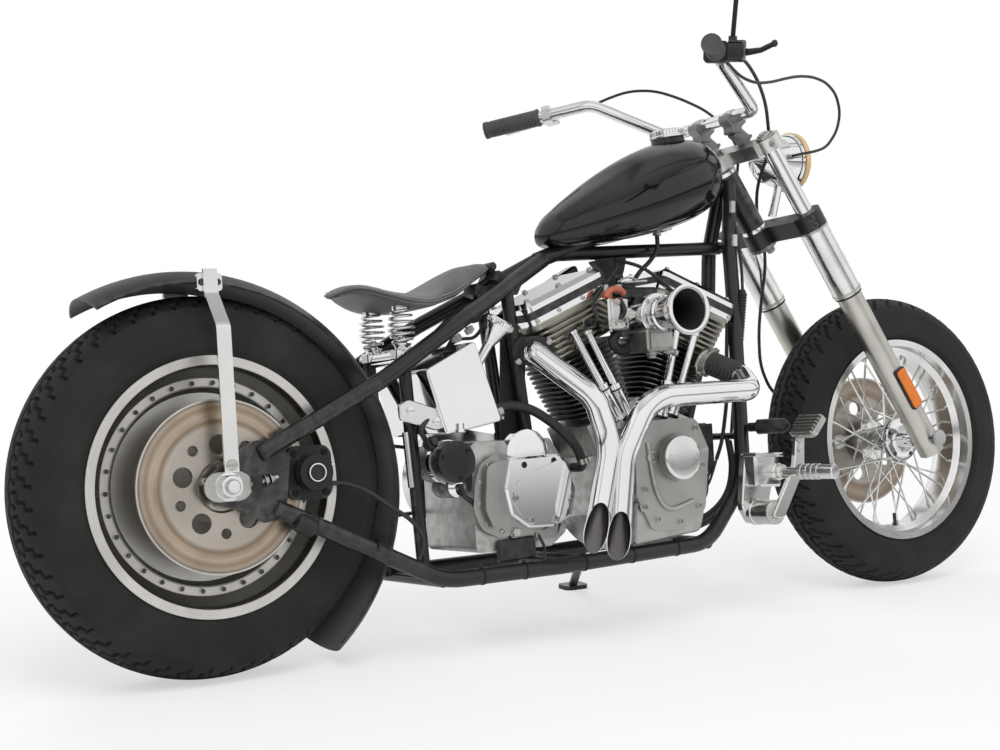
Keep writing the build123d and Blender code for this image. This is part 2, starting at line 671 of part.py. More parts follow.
CARB = (884, 596)
CARB_Y = -22.0            # body's inner face
with BuildPart() as carburettor:
    # manifold between the two heads, stub to the body
    for turn in (V_HALF, -V_HALF):
        face = bank(turn, PORT_D).from_local_coords(((PORT_FACE + GAP) * (1 if turn > 0 else -1), 0, 0))
        bar_between(INTAKE, tuple(face), PORT_R)
    bar_between((INTAKE[0], 22, INTAKE[2]), (INTAKE[0], CARB_Y - 4, INTAKE[2]), PORT_R + 5)
    with BuildSketch(ring_plane(CARB_Y)):
        with Locations(CARB):
            RectangleRounded(62, 62, 10)
    extrude(amount=68)
    # vacuum chamber and float bowl
    with BuildSketch(ring_plane(-90)):
        with Locations(CARB):
            Circle(40)
    extrude(amount=52)
    with BuildSketch(ring_plane(-142)):
        with Locations(CARB):
            Circle(31)
    extrude(amount=18)
    with BuildSketch(ring_plane(-88)):
        with Locations((CARB[0], CARB[1] - 50)):
            RectangleRounded(58, 40, 8)
    extrude(amount=60)
keep(carburettor.part, "carburettor")

HORN_IN = 160.0           # where the horn leaves the carburettor
with BuildPart() as air_horn:
    with BuildSketch(Plane(origin=(CARB[0], 0, CARB[1]), x_dir=(0, 1, 0), z_dir=(1, 0, 0))):
        with BuildLine():
            Polyline((-HORN_IN - GAP, 30), (-HORN_IN - 16, 30), (-208, 34), (-226, 40), (-238, 48),
                     (-244, 47), (-240, 40), (-228, 35), (-208, 30), (-HORN_IN - 16, 25),
                     (-HORN_IN - GAP, 25), close=True)
        make_face()
    revolve(axis=Axis((CARB[0], 0, CARB[1]), (0, 1, 0)))
keep(air_horn.part, "air_horn")

REAR_PIPE = [(640, -76, 536), (620, -110, 530), (690, -196, 440), (712, -204, 350), (652, -210, 150)]
FRONT_PIPE = [(1040, -80, 505), (1076, -150, 470), (1050, -206, 440), (800, -212, 436), (734, -214, 330), (704, -214, 130)]
FLANGE = 27.0             # port flange radius
TIP_R = 25.0              # flared tip radius
TIP_LENGTH = 70.0
BORE = 180.0              # depth the tips are open
SLASH = (-0.15, -0.78, -0.6)
with BuildPart() as exhaust_pipes:
    for route, bends in ((REAR_PIPE, [16, 60, 120]), (FRONT_PIPE, [45, 30, 90, 90])):
        bent_bar(route, bends, PIPE_R)
        port, first = Vector(*route[0]), Vector(*route[1])
        out = (first - port).normalized()
        bar_between(tuple(port), tuple(port + out * 10), FLANGE)
        end = Vector(*route[-1])
        down = (end - Vector(*route[-2])).normalized()
        with BuildSketch(Plane(origin=end - down * TIP_LENGTH, z_dir=down)) as throat:
            Circle(PIPE_R)
        with BuildSketch(Plane(origin=end, z_dir=down)) as mouth:
            Circle(TIP_R)
        loft([throat.sketch.face(), mouth.sketch.face()])
        bar_between(tuple(end - down * BORE), tuple(end + down), PIPE_R - 2, mode=Mode.SUBTRACT)
        with BuildSketch(Plane(origin=end - down * 34, z_dir=SLASH)) as slash:
            Rectangle(200, 200)
        extrude(slash.sketch, amount=60, mode=Mode.SUBTRACT)
keep(exhaust_pipes.part, "exhaust_pipes")

with BuildPart() as primary_cover:
    with BuildSketch(side_plane(110, 1)):
        with Locations((-CRANK_X, CRANK_Z)):
            Circle(78)
        with Locations((-560, 300)):
            Circle(100)
        make_hull()
    extrude(amount=46)
    fillet(primary_cover.faces().sort_by(Axis.Y)[-1].edges(), 12)
    # inner boss that seats on the crankcase
    with BuildSketch(side_plane(CASE_HALF + GAP, 1)):
        with Locations((-CRANK_X, CRANK_Z)):
            Circle(60)
    extrude(amount=110 - CASE_HALF)
keep(primary_cover.part, "primary_cover")

FRONT_PULLEY = (560, 300, 48)
with BuildPart() as drive_belt:
    with BuildSketch(side_plane(BELT_IN + 1 + GAP, 1)):
        with Locations((0, HUB_Z)):
            Circle(PULLEY_R + GAP + 6)
        with Locations((-FRONT_PULLEY[0], FRONT_PULLEY[1])):
            Circle(FRONT_PULLEY[2] + 6)
        make_hull()
    extrude(amount=BELT_OUT - BELT_IN - 2 - GAP)
    with BuildSketch(side_plane(BELT_IN - 1, 1)):
        with Locations((0, HUB_Z)):
            Circle(PULLEY_R + GAP)
        with Locations((-FRONT_PULLEY[0], FRONT_PULLEY[1])):
            Circle(FRONT_PULLEY[2])
        make_hull()
    extrude(amount=BELT_OUT - BELT_IN + 2, mode=Mode.SUBTRACT)
keep(drive_belt.part, "drive_belt")

# ---------------------------------------------------------------- fuel tank
# fuel tank sections: place, bottom, waist, shoulder and top heights, half widths of the first three
TANK = [
    # x, z_low, z_mid, z_side, z_top, w_low, w_mid, w_side
    (700, 748, 758, 768, 774, 10, 15, 8),
    (760, 742, 768, 800, 822, 52, 66, 34),
    (850, 750, 796, 850, 882, 84, 108, 62),
    (950, 768, 828, 904, 938, 96, 125, 74),
    (1040, 796, 860, 936, 966, 90, 119, 70),
    (1100, 820, 882, 940, 966, 66, 94, 56),
    (1140, 850, 896, 930, 946, 26, 50, 30),
]
TUNNEL_HALF = FRAME_TUBE + 2
CAP_Z = 972.0
PETCOCK_Z = 764.0
with BuildPart() as fuel_tank:
    for x, z_low, z_mid, z_side, z_top, w_low, w_mid, w_side in TANK:
        with BuildSketch(Plane(origin=(x, 0, 0), x_dir=(0, 1, 0), z_dir=(1, 0, 0))):
            with BuildLine():
                Line((-w_low, z_low), (w_low, z_low))
                ThreePointArc((w_low, z_low), (w_mid, z_mid), (w_side, z_side))
                ThreePointArc((w_side, z_side), (0, z_top), (-w_side, z_side))
                ThreePointArc((-w_side, z_side), (-w_mid, z_mid), (-w_low, z_low))
            make_face()
    loft()
    bar_between((1050, 0, 940), (1047, 0, CAP_Z - GAP), 34)
    bar_between((980, -30, 800), (980, -30, PETCOCK_Z), 9)
    # tunnel that sits down over the backbone
    rise = BACKBONE_END[2] - BACKBONE_START[2]
    reach = BACKBONE_END[0] - BACKBONE_START[0]
    roof = (FRAME_TUBE + GAP) * (1 + (rise / reach) ** 2) ** 0.5
    with BuildSketch(ring_plane(TUNNEL_HALF)):
        with BuildLine():
            Polyline((BACKBONE_START[0], BACKBONE_START[2] + roof), (BACKBONE_END[0], BACKBONE_END[2] + roof),
                     (BACKBONE_END[0], 700), (BACKBONE_START[0], 700), close=True)
        make_face()
    extrude(amount=2 * TUNNEL_HALF, mode=Mode.SUBTRACT)
keep(fuel_tank.part, "fuel_tank")

with BuildPart() as fuel_cap:
    with BuildSketch(Plane(origin=(1047, 0, CAP_Z), x_dir=(1, 0, 0), z_dir=(-0.1, 0, 1))):
        Circle(36)
    extrude(amount=16)
    chamfer(fuel_cap.faces().sort_by(Axis.Z)[-1].edges(), 3)
keep(fuel_cap.part, "fuel_cap")

with BuildPart() as regulator:
    with BuildSketch(Plane(origin=(REGULATOR_X, 0, REGULATOR_Z), x_dir=(0, 1, 0), z_dir=(1, 0, 0))):
        RectangleRounded(110, 100, 6)
    extrude(amount=16)
    for i in range(7):
        with BuildSketch(Plane(origin=(REGULATOR_X + 16, -48 + 16 * i, REGULATOR_Z), x_dir=(0, 1, 0), z_dir=(1, 0, 0))):
            Rectangle(4, 96)
        extrude(amount=18)
keep(regulator.part, "regulator")

# ---------------------------------------------------------------- foot controls and signals
PEG_R = 15.0
PEG_ROOT = (1118, -200, 276)
PEG_STEP = (1128, -241.3333, 275.3333)
PEG_TIP = (1148, -324, 274)
with BuildPart() as foot_controls:
    with BuildSketch(ring_plane(-142)):
        with BuildLine():
            Polyline((1070, 176), (1110, 184), (1134, 262), (1128, 312), (1066, 316), (1050, 210), close=True)
        make_face()
        fillet(vertices(), 8)
    extrude(amount=16)
    # boss against the frame's lower tube
    bar_between((1092, -143, 268), (1092, -RAIL_BEND_Y - FRAME_TUBE + 0.5, 268), 10)
    # folded box on its face, open behind
    with BuildSketch(ring_plane(-158)):
        with BuildLine():
            Polyline((1066, 250), (1128, 246), (1128, 308), (1066, 312), close=True)
            offset(amount=-3)
        make_face()
    extrude(amount=30)
    bar_between((1084, -158, 199), (1084, -214, 199), 24)
    bar_between((1118, -158, 276), (1118, -200, 276), 12)
    bar_between(PEG_ROOT, PEG_STEP, 8)
    bar_between(PEG_STEP, PEG_TIP, PEG_R)
    with BuildSketch(ring_plane(-214)):
        with BuildLine():
            Polyline((1070, 190), (1100, 186), (1160, 280), (1164, 354), (1140, 354), (1134, 288), close=True)
        make_face()
        fillet(vertices(), 6)
    extrude(amount=10)
    with BuildSketch(ring_plane(-212)):
        with Locations((1152, 358)):
            RectangleRounded(86, 16, 6)
    extrude(amount=70)
    mirror(about=Plane.XZ)
keep(foot_controls.part, "foot_controls")

with BuildPart() as turn_signals:
    bar_between((1116.1, -109.4, 366), (1124, -138, 366), 6)
    bar_between((1122, -136, 366), (1146, -186, 366), 15)
    mirror(about=Plane.XZ)
keep(turn_signals.part, "turn_signals")

# ---------------------------------------------------------------- steering assembly
LEGS = [(FORK_OFFSET, -LEG_Y), (FORK_OFFSET, LEG_Y)]
TUBE_TOP = TOP_CLAMP_S + TOP_T + 3

with BuildPart() as fork_sliders:
    with BuildSketch(STEER.offset(-34)):
        with Locations(*LEGS):
            Circle(SLIDER_R)
    extrude(amount=COVER_S + 34)
    with BuildSketch(STEER.offset(COVER_S)):
        with Locations(*LEGS):
            Circle(COVER_R)
    extrude(amount=LOW_CLAMP_S - CLAMP_T / 2 - COVER_S - GAP)
    bar_between((WHEELBASE, -200, FRONT_Z), (WHEELBASE, 200, FRONT_Z), AXLE_R + RUNNING, mode=Mode.SUBTRACT)
keep(fork_sliders.part, "fork_sliders")

with BuildPart() as fork_tubes:
    with BuildSketch(STEER.offset(LOW_CLAMP_S - CLAMP_T / 2)):
        with Locations(*LEGS):
            Circle(TUBE_R)
    extrude(amount=TUBE_TOP - LOW_CLAMP_S + CLAMP_T / 2)
keep(fork_tubes.part, "fork_tubes")

with BuildPart() as triple_clamps:
    for low, thick, ring in ((LOW_CLAMP_S - CLAMP_T / 2, CLAMP_T, 32), (TOP_CLAMP_S, TOP_T, 29)):
        with BuildSketch(STEER.offset(low)):
            Circle(30)
            with Locations(*LEGS):
                Circle(ring)
            with Locations((FORK_OFFSET * 0.6, 0)):
                Rectangle(44, 2 * LEG_Y)
            with Locations(*LEGS):
                Circle(TUBE_R + GAP, mode=Mode.SUBTRACT)
        extrude(amount=thick)
    with BuildSketch(STEER.offset(LOW_CLAMP_S)):
        Circle(14 - RUNNING)
    extrude(amount=TOP_CLAMP_S - LOW_CLAMP_S + 1)
keep(triple_clamps.part, "triple_clamps")

with BuildPart() as front_axle:
    wheel_ring(
        FRONT_WHEEL,
        FRONT_AXIS,
        [
            (-166, 0), (-166, AXLE_R + 4), (-LEG_Y - SLIDER_R - GAP, AXLE_R + 4),
            (-LEG_Y - SLIDER_R - GAP, AXLE_R), (-LEG_Y + SLIDER_R + GAP, AXLE_R),
            (-LEG_Y + SLIDER_R + GAP, 18), (-FRONT_HUB - GAP, 18), (-FRONT_HUB - GAP, AXLE_R),
            (FRONT_HUB + 10, AXLE_R), (FRONT_HUB + 10, 18), (LEG_Y - SLIDER_R - GAP, 18),
            (LEG_Y - SLIDER_R - GAP, AXLE_R), (LEG_Y + SLIDER_R + GAP, AXLE_R),
            (LEG_Y + SLIDER_R + GAP, AXLE_R + 6), (162, AXLE_R + 6), (162, 0),
        ],
    )
keep(front_axle.part, "front_axle")

CALIPER_TOP = 128.0       # front caliper's upper face, up the steering axis
with BuildPart() as front_caliper:
    with BuildSketch(STEER.offset(CALIPER_TOP - 84)):
        with Locations((-74, 75)):
            RectangleRounded(62, 38, 10)
    extrude(amount=84)
    bar_between((WHEELBASE, ROTOR_F_IN - 4, FRONT_Z), (WHEELBASE, ROTOR_F_IN + 9, FRONT_Z), ROTOR_F_R + 4,
                mode=Mode.SUBTRACT)
    bar_between(at(STEER, -60, 88, 90), at(STEER, FORK_OFFSET - SLIDER_R - GAP, 104, 90), 9)
keep(front_caliper.part, "front_caliper")

with BuildPart() as reflectors:
    for side in (-1, 1):
        with BuildSketch(Plane(origin=at(STEER, FORK_OFFSET, side * (LEG_Y + SLIDER_R + GAP), 130),
                               x_dir=(-S, 0, C), z_dir=(0, side, 0))):
            RectangleRounded(92, 26, 6)
        extrude(amount=7)
keep(reflectors.part, "reflectors")

LAMP_X = 1380.0
LAMP_Z = 932.0
LAMP_R = 62.0
GLAND_X = 62.0            # cable gland behind the lamp's rim
GLAND_END = 58.0
with BuildPart() as headlight:
    with BuildSketch(Plane(origin=(LAMP_X, 0, LAMP_Z), x_dir=(1, 0, 0), z_dir=(0, -1, 0))):
        with BuildLine():
            Polyline((0, 0), (0, LAMP_R), (-14, LAMP_R), (-14, LAMP_R - 5), (-44, LAMP_R - 8),
                     (-76, LAMP_R - 18), (-100, LAMP_R - 36), (-112, 0), close=True)
        make_face()
    revolve(axis=Axis((LAMP_X, 0, LAMP_Z), (1, 0, 0)))
    bar_between((LAMP_X - 42, 0, LAMP_Z - 50), at(STEER, 60, 0, LOW_CLAMP_S + CLAMP_T / 2 + GAP), 9)
    bar_between((LAMP_X - GLAND_X, -40, LAMP_Z), (LAMP_X - GLAND_X, -GLAND_END, LAMP_Z), 6)
keep(headlight.part, "headlight")

with BuildPart() as headlight_lens:
    with BuildSketch(Plane(origin=(LAMP_X + GAP, 0, LAMP_Z), x_dir=(1, 0, 0), z_dir=(0, -1, 0))):
        with BuildLine():
            Polyline((0, 0), (0, LAMP_R - 6), (3, LAMP_R - 6), (7, 44), (10, 22), (11, 0), close=True)
        make_face()
    revolve(axis=Axis((LAMP_X, 0, LAMP_Z), (1, 0, 0)))
keep(headlight_lens.part, "headlight_lens")

BAR_R = 12.7
BAR_X = 1178.0
BAR_Z = 1012.0
HALF_BAR = [(BAR_X, 0, BAR_Z), (BAR_X, -80, BAR_Z), (1160, -142, 1007), (1012, -222, 1086), (852, -397, 1057)]
with BuildPart() as handlebar:
    bent_bar(HALF_BAR, [60, 45, 60], BAR_R)
    mirror(about=Plane.XZ)
keep(handlebar.part, "handlebar")

RISER_Y = 52.0
with BuildPart() as risers:
    clamp = STEER.to_local_coords(Vector(BAR_X, 0, BAR_Z))
    with BuildSketch(STEER.offset(TOP_CLAMP_S + TOP_T + GAP)):
        with Locations((clamp.X, -RISER_Y), (clamp.X, RISER_Y)):
            Circle(15)
    extrude(amount=clamp.Z - TOP_CLAMP_S - TOP_T - GAP)
    for side in (-1, 1):
        with BuildSketch(ring_plane(side * RISER_Y + 14)):
            with Locations((BAR_X, BAR_Z)):
                Circle(24)
        extrude(amount=28)
    bar_between((BAR_X, -70, BAR_Z), (BAR_X, 70, BAR_Z), BAR_R + GAP, mode=Mode.SUBTRACT)
keep(risers.part, "risers")

GRIP_DIR = (Vector(*HALF_BAR[-1]) - Vector(*HALF_BAR[-2])).normalized()
GRIP_END = Vector(*HALF_BAR[-1])
with BuildPart() as grips:
    start = GRIP_END - GRIP_DIR * 122
    with BuildSketch(Plane(origin=start, z_dir=GRIP_DIR)):
        Circle(17)
        Circle(BAR_R + GAP, mode=Mode.SUBTRACT)
    extrude(amount=122 + GAP)
    with BuildSketch(Plane(origin=GRIP_END + GRIP_DIR * GAP, z_dir=GRIP_DIR)):
        Circle(19)
    extrude(amount=5)
    mirror(about=Plane.XZ)
keep(grips.part, "grips")

CONTROL_AT = GRIP_END - GRIP_DIR * 150
CONTROL_PLANE = Plane(origin=CONTROL_AT, x_dir=(1, 0, 0), z_dir=GRIP_DIR)
fwd = CONTROL_PLANE.x_dir
LEVER_END = 112.0         # lever tip from its perch, along the grip
with BuildPart() as brake_control:
    with BuildSketch(CONTROL_PLANE):
        RectangleRounded(46, 40, 8)
        Circle(BAR_R + GAP, mode=Mode.SUBTRACT)
    extrude(amount=24)
    perch = CONTROL_AT + fwd * 22 + GRIP_DIR * 12
    with BuildSketch(Plane(origin=perch, x_dir=GRIP_DIR, z_dir=fwd)):
        RectangleRounded(44, 34, 6)
    extrude(amount=30)
    bar_between(tuple(perch + fwd * 20), tuple(perch + fwd * 34 + GRIP_DIR * LEVER_END), 6)
keep(brake_control.part, "brake_control")

CLUTCH_PERCH = 30.0       # clutch perch length along the grip
with BuildPart() as clutch_control:
    with BuildSketch(CONTROL_PLANE):
        RectangleRounded(38, 36, 8)
        Circle(BAR_R + GAP, mode=Mode.SUBTRACT)
    extrude(amount=18)
    hold = CONTROL_AT + fwd * 17 + GRIP_DIR * 9
    with BuildSketch(Plane(origin=hold, x_dir=GRIP_DIR, z_dir=fwd)):
        RectangleRounded(CLUTCH_PERCH, 24, 5)
    extrude(amount=24)
    bar_between(tuple(hold + fwd * 16), tuple(hold + fwd * 34 + GRIP_DIR * LEVER_END), 6)
clutch_control.part = clutch_control.part.mirror(Plane.XZ)
keep(clutch_control.part, "clutch_control")

CONTROL_UP = GRIP_DIR.cross(fwd)
CONTROL_UP = CONTROL_UP * (1 if CONTROL_UP.Z > 0 else -1)
with BuildPart() as mirror_arm:
    base = CONTROL_AT + fwd * 30 + GRIP_DIR * 12 + CONTROL_UP * (17 + GAP)
    elbow = base + CONTROL_UP * 12
    tip = elbow + Vector(-20, -60, 140)
    bar_between(tuple(base), tuple(elbow), 8)
    bar_between(tuple(elbow - CONTROL_UP * 4), tuple(tip), 4.5)
    with BuildSketch(Plane(origin=tip + Vector(0, 0, 45), z_dir=(-1, 0, 0.1))):
        Circle(48)
    extrude(amount=10, both=True)
keep(mirror_arm.part, "mirror")

# ---------------------------------------------------------------- hoses and cables
MASTER_OUT = perch + fwd * 15 - GRIP_DIR * (22 + GAP)
hose(
    [
        MASTER_OUT, MASTER_OUT - GRIP_DIR * 60, (1085, -218, 1082), (1140, -184, 1056),
        (1184, -152, 1020), (1222, -112, 980), (1262, -66, 943), (1268, -12, 881), (1305, 40, 828),
        (1347, 70, 772), at(STEER, 40, 76, 468), at(STEER, 0, 88, 416), at(STEER, -45, 98, 356),
        at(STEER, -85, 101, 290), at(STEER, -96, 97, 228), at(STEER, -78, 78, 176),
        at(STEER, -76, 76, CALIPER_TOP + GAP),
    ],
    3.5,
    "brake_hose",
)
THROTTLE_OUT = CONTROL_AT + fwd * 16 - CONTROL_UP * 12 - GRIP_DIR * GAP
hose(
    [
        THROTTLE_OUT, THROTTLE_OUT - GRIP_DIR * 45, (1040, -248, 1044), (1095, -228, 1039),
        (1155, -206, 1050), (1212, -182, 1066), (1270, -160, 1080), (1330, -138, 1087),
        (1385, -118, 1083), (1428, -100, 1064), (1448, -88, 1028), (1438, -84, 988),
        (1396, -94, 950), (1352, -104, 937), (LAMP_X - GLAND_X, -92, LAMP_Z),
        (LAMP_X - GLAND_X, -GLAND_END - GAP, LAMP_Z),
    ],
    3.0,
    "throttle_cable",
)
CLUTCH_OUT = hold + fwd * 12 - GRIP_DIR * (CLUTCH_PERCH / 2 + GAP)
hose(
    [
        Vector(x, -y, z) for x, y, z in (tuple(CLUTCH_OUT), tuple(CLUTCH_OUT - GRIP_DIR * 50))
    ] + [
        (1052, 228, 1100), (1090, 186, 1113), (1126, 142, 1107), (1162, 102, 1084), (1204, 62, 1050),
        (1232, 30, 1004), (1244, 12, 955), at(STEER, 58, 30, 690), at(STEER, 34.5, 61, 634),
        at(STEER, 34, 62, LOW_CLAMP_S + CLAMP_T / 2 + GAP),
    ],
    3.0,
    "clutch_cable",
)
TANK_FRONT = Vector(OIL_TANK[2][0] - OIL_TANK[1][0], 0, OIL_TANK[2][1] - OIL_TANK[1][1])
TANK_OUT = Vector(-TANK_FRONT.Z, 0, TANK_FRONT.X).normalized()
OIL_OUT = Vector(OIL_TANK[2][0], -85, OIL_TANK[2][1]) - TANK_FRONT * 0.115 + TANK_OUT * GAP
hose(
    [
        OIL_OUT, OIL_OUT + TANK_OUT * 42, (618, -88, 428), (662, -100, 396), (700, -112, 352),
        (716, -108, 312), (716, -CASE_HALF - GAP, 312),
    ],
    9.0,
    "oil_hose",
)
hose(
    [
        (CALIPER[0] + 41 + GAP, -98, 318), (224, -98, 318), (264, -108, 300), (302, -120, 268),
        (338, -127, 243), (360.7, -125, 205.6), (344.8, -125, 173.4),
    ],
    4.0,
    "rear_brake_hose",
)
hose(
    [
        (980, -30, PETCOCK_Z - GAP), (980, -30, 736), (958, -31, 712), (926, -35, 690),
        (903, -40, 664), (901.5, -40, CARB[1] + 31 + GAP),
    ],
    4.5,
    "fuel_line",
)

# ---------------------------------------------------------------- side stand
STAND_R = 9.0
with BuildPart() as side_stand:
    with BuildSketch(Plane(origin=FOOT, x_dir=(1, 0, 0), z_dir=FLOOR_UP)):
        RectangleRounded(58, 42, 12)
    extrude(amount=9)
    bar_between(tuple(PIVOT), tuple(FOOT + Vector(*FLOOR_UP) * 8), STAND_R)
    bar_between(tuple(PIVOT - HINGE * EYE_H), tuple(PIVOT + HINGE * EYE_H), 13)
    bar_between(tuple(PIVOT - HINGE * 20), tuple(PIVOT + HINGE * 20), PIN_R + RUNNING, mode=Mode.SUBTRACT)
    bar_between(tuple(PIVOT + HINGE * EYE_H), tuple(PIVOT + HINGE * 30), 16, mode=Mode.SUBTRACT)
    bar_between(tuple(PIVOT - HINGE * EYE_H), tuple(PIVOT - HINGE * 30), 16, mode=Mode.SUBTRACT)
keep(side_stand.part, "side_stand")

# ---------------------------------------------------------------- park it and write it
LEANED = Rotation(-LEAN, 0, 0)
leaned = [LEANED * piece for piece in finished]
reach = Compound(children=[Compound(p.solids()) for p in leaned]).bounding_box()
ORIGIN = ((reach.min.X + reach.max.X) / 2, (reach.min.Y + reach.max.Y) / 2)
print("origin", ORIGIN, "low", reach.min.Z, "size", reach.size)
for piece in finished:
    parked = Location((-ORIGIN[0], -ORIGIN[1], 0)) * (LEANED * piece)
    parked.label = piece.label
    export_step(parked, f"parts/{piece.label}.step")
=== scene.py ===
"""Looks of the chopper motorcycle: finishes, tyre tread, upholstery, springs and fasteners.

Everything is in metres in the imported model's frame. The bike itself is drawn in the upright
bike frame (millimetres, +X forward from the rear axle, +Y to the rider's left, +Z up), and
the BIKE and FORK matrices lean it over to where the frame has it.
"""

import json
from math import cos, pi, radians, sin, tan

import bpy
import numpy as np
from mathutils import Matrix, Vector


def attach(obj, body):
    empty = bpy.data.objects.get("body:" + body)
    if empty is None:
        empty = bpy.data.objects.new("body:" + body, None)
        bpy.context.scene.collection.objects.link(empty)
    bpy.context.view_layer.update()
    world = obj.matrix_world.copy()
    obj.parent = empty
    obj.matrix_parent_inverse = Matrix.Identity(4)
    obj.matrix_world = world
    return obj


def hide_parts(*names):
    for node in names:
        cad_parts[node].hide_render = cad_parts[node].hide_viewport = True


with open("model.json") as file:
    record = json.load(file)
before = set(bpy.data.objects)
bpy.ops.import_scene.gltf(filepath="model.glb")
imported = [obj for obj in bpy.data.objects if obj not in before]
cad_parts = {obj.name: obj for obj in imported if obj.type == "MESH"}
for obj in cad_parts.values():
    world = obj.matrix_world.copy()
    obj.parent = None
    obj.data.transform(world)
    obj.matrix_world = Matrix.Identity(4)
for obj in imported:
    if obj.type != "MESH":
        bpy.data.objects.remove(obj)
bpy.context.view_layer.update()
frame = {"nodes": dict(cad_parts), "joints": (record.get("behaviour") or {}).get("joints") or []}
NODES = frame["nodes"]
JOINTS = {joint["name"]: joint for joint in frame["joints"]}
MM = 0.001

# ---------------------------------------------------------------- driving dimensions, as in the CAD
LEAN = 7.0
WHEELBASE = 1600.0
RAKE = 31.7
REAR_R, REAR_W, REAR_CROWN = 326.0, 75.0, 100.0
FRONT_R, FRONT_W, FRONT_CROWN = 316.0, 62.0, 76.0
LIP_R, SEAT_R, LIP_T = 220.0, 209.0, 3.2
REAR_RIM_W, FRONT_RIM_W = 73.5, 53.0
FORK_OFFSET, LEG_Y = 42.0, 120.0
LOW_CLAMP_S, TOP_CLAMP_S, COVER_S = 555.0, 726.0, 375.0
TOP_T = 28.0  # thickness of the top clamp
CRANK_X, CRANK_Z, V_HALF = 881.0, 255.0, 22.5
BOX_D, BOX_TOP, BAND_D = 393.0, 438.0, 408.0
CARB = (884.0, 596.0)
CAM = (905.0, 318.0)
BAR_X, BAR_Z = 1178.0, 1012.0
LAMP_X, LAMP_Z = 1380.0, 932.0

HUB_Z = REAR_R - REAR_CROWN + REAR_CROWN / cos(radians(LEAN))
FRONT_Z = FRONT_R - FRONT_CROWN + FRONT_CROWN / cos(radians(LEAN))
REAR_AXLE = Vector(JOINTS["rear_wheel_spin"]["pos_m"])
C, S = cos(radians(RAKE)), sin(radians(RAKE))
TILT = Matrix.Rotation(-radians(LEAN), 4, "X")
BIKE = Matrix.Translation(REAR_AXLE) @ TILT @ Matrix.Scale(MM, 4) @ Matrix.Translation((0, 0, -HUB_Z))
STEER_AT = (WHEELBASE - FORK_OFFSET * C, 0.0, FRONT_Z - FORK_OFFSET * S)
FORK = BIKE @ Matrix((
    (C, 0, -S, STEER_AT[0]), (0, 1, 0, STEER_AT[1]), (S, 0, C, STEER_AT[2]), (0, 0, 0, 1),
))
AHEAD, LEFT, RIGHT, UP, DOWN = (1, 0, 0), (0, 1, 0), (0, -1, 0), (0, 0, 1), (0, 0, -1)


def spot(place, along=RIGHT, up=AHEAD, base=BIKE):
    """A frame at a place, its Z along a direction and its X as near as can be to up."""
    z = Vector(along).normalized()
    x = Vector(up) - z * z.dot(Vector(up))
    if x.length < 0.001:
        x = z.orthogonal()
    x.normalize()
    turn = Matrix((x, z.cross(x), z)).transposed().to_4x4()
    return base @ Matrix.Translation(place) @ turn


def bank(turn, d):
    """A frame square to one cylinder's axis, d up it; turn is its tilt, + backwards."""
    a = radians(turn)
    axis = (-sin(a), 0, cos(a))
    return spot((CRANK_X + d * axis[0], 0, CRANK_Z + d * axis[2]), axis, (cos(a), 0, sin(a)))


# ---------------------------------------------------------------- materials
def new_material(name):
    """A node material with its tree and its shader."""
    mat = bpy.data.materials.new(name)
    mat.use_nodes = True
    return mat, mat.node_tree, mat.node_tree.nodes["Principled BSDF"]


def node(tree, kind, **settings):
    """A new node with its inputs or properties set by name."""
    made = tree.nodes.new(kind)
    for key, value in settings.items():
        if hasattr(made, key):
            setattr(made, key, value)
        else:
            made.inputs[key.replace("_", " ")].default_value = value
    return made


def toned(color, level):
    """A colour made darker or lighter."""
    return [c * level for c in color]


def coords(tree):
    """The object's own coordinates."""
    return node(tree, "ShaderNodeTexCoord").outputs["Object"]


def noise(tree, scale, detail=3.0):
    """A noise texture in the object's own coordinates."""
    texture = node(tree, "ShaderNodeTexNoise", Scale=scale, Detail=detail)
    tree.links.new(coords(tree), texture.inputs["Vector"])
    return texture.outputs["Fac"]


def ramp(tree, source, *stops):
    """A colour ramp of (place, colour) stops driven by a factor."""
    made = node(tree, "ShaderNodeValToRGB")
    spots = made.color_ramp.elements
    while len(spots) < len(stops):
        spots.new(0.5)
    for element, (place, color) in zip(spots, stops):
        element.position = place
        element.color = (*color, 1)
    tree.links.new(source, made.inputs["Fac"])
    return made.outputs["Color"]


def span(tree, source, low, high, start=0.0, end=1.0):
    """A factor stretched from start..end to low..high."""
    made = node(tree, "ShaderNodeMapRange")
    for name, value in (("From Min", start), ("From Max", end), ("To Min", low), ("To Max", high)):
        made.inputs[name].default_value = value
    tree.links.new(source, made.inputs["Value"])
    return made.outputs["Result"]


def math(tree, kind, a, b):
    """A math node on two outputs or numbers."""
    made = node(tree, "ShaderNodeMath", operation=kind)
    for slot, value in zip(made.inputs, (a, b)):
        if hasattr(value, "links"):
            tree.links.new(value, slot)
        else:
            slot.default_value = value
    return made.outputs[0]


def mixed(tree, factor, a, b):
    """Colour b over colour a by a factor; each is an output or a plain colour."""
    made = node(tree, "ShaderNodeMix", data_type="RGBA")
    tree.links.new(factor, made.inputs["Factor"])
    for slot, value in ((made.inputs[6], a), (made.inputs[7], b)):
        if hasattr(value, "links"):
            tree.links.new(value, slot)
        else:
            slot.default_value = (*value, 1)
    return made.outputs[2]


def bump(tree, shader, height, strength, distance):
    """A bump from a height output, added to whatever bump the shader has."""
    made = node(tree, "ShaderNodeBump", Strength=strength, Distance=distance * MM)
    tree.links.new(height, made.inputs["Height"])
    if shader.inputs["Normal"].links:
        tree.links.new(shader.inputs["Normal"].links[0].from_socket, made.inputs["Normal"])
    tree.links.new(made.outputs["Normal"], shader.inputs["Normal"])


def coat(tree, shader, tone, rough):
    """Colour and roughness outputs laid on a shader."""
    tree.links.new(tone, shader.inputs["Base Color"])
    tree.links.new(rough, shader.inputs["Roughness"])


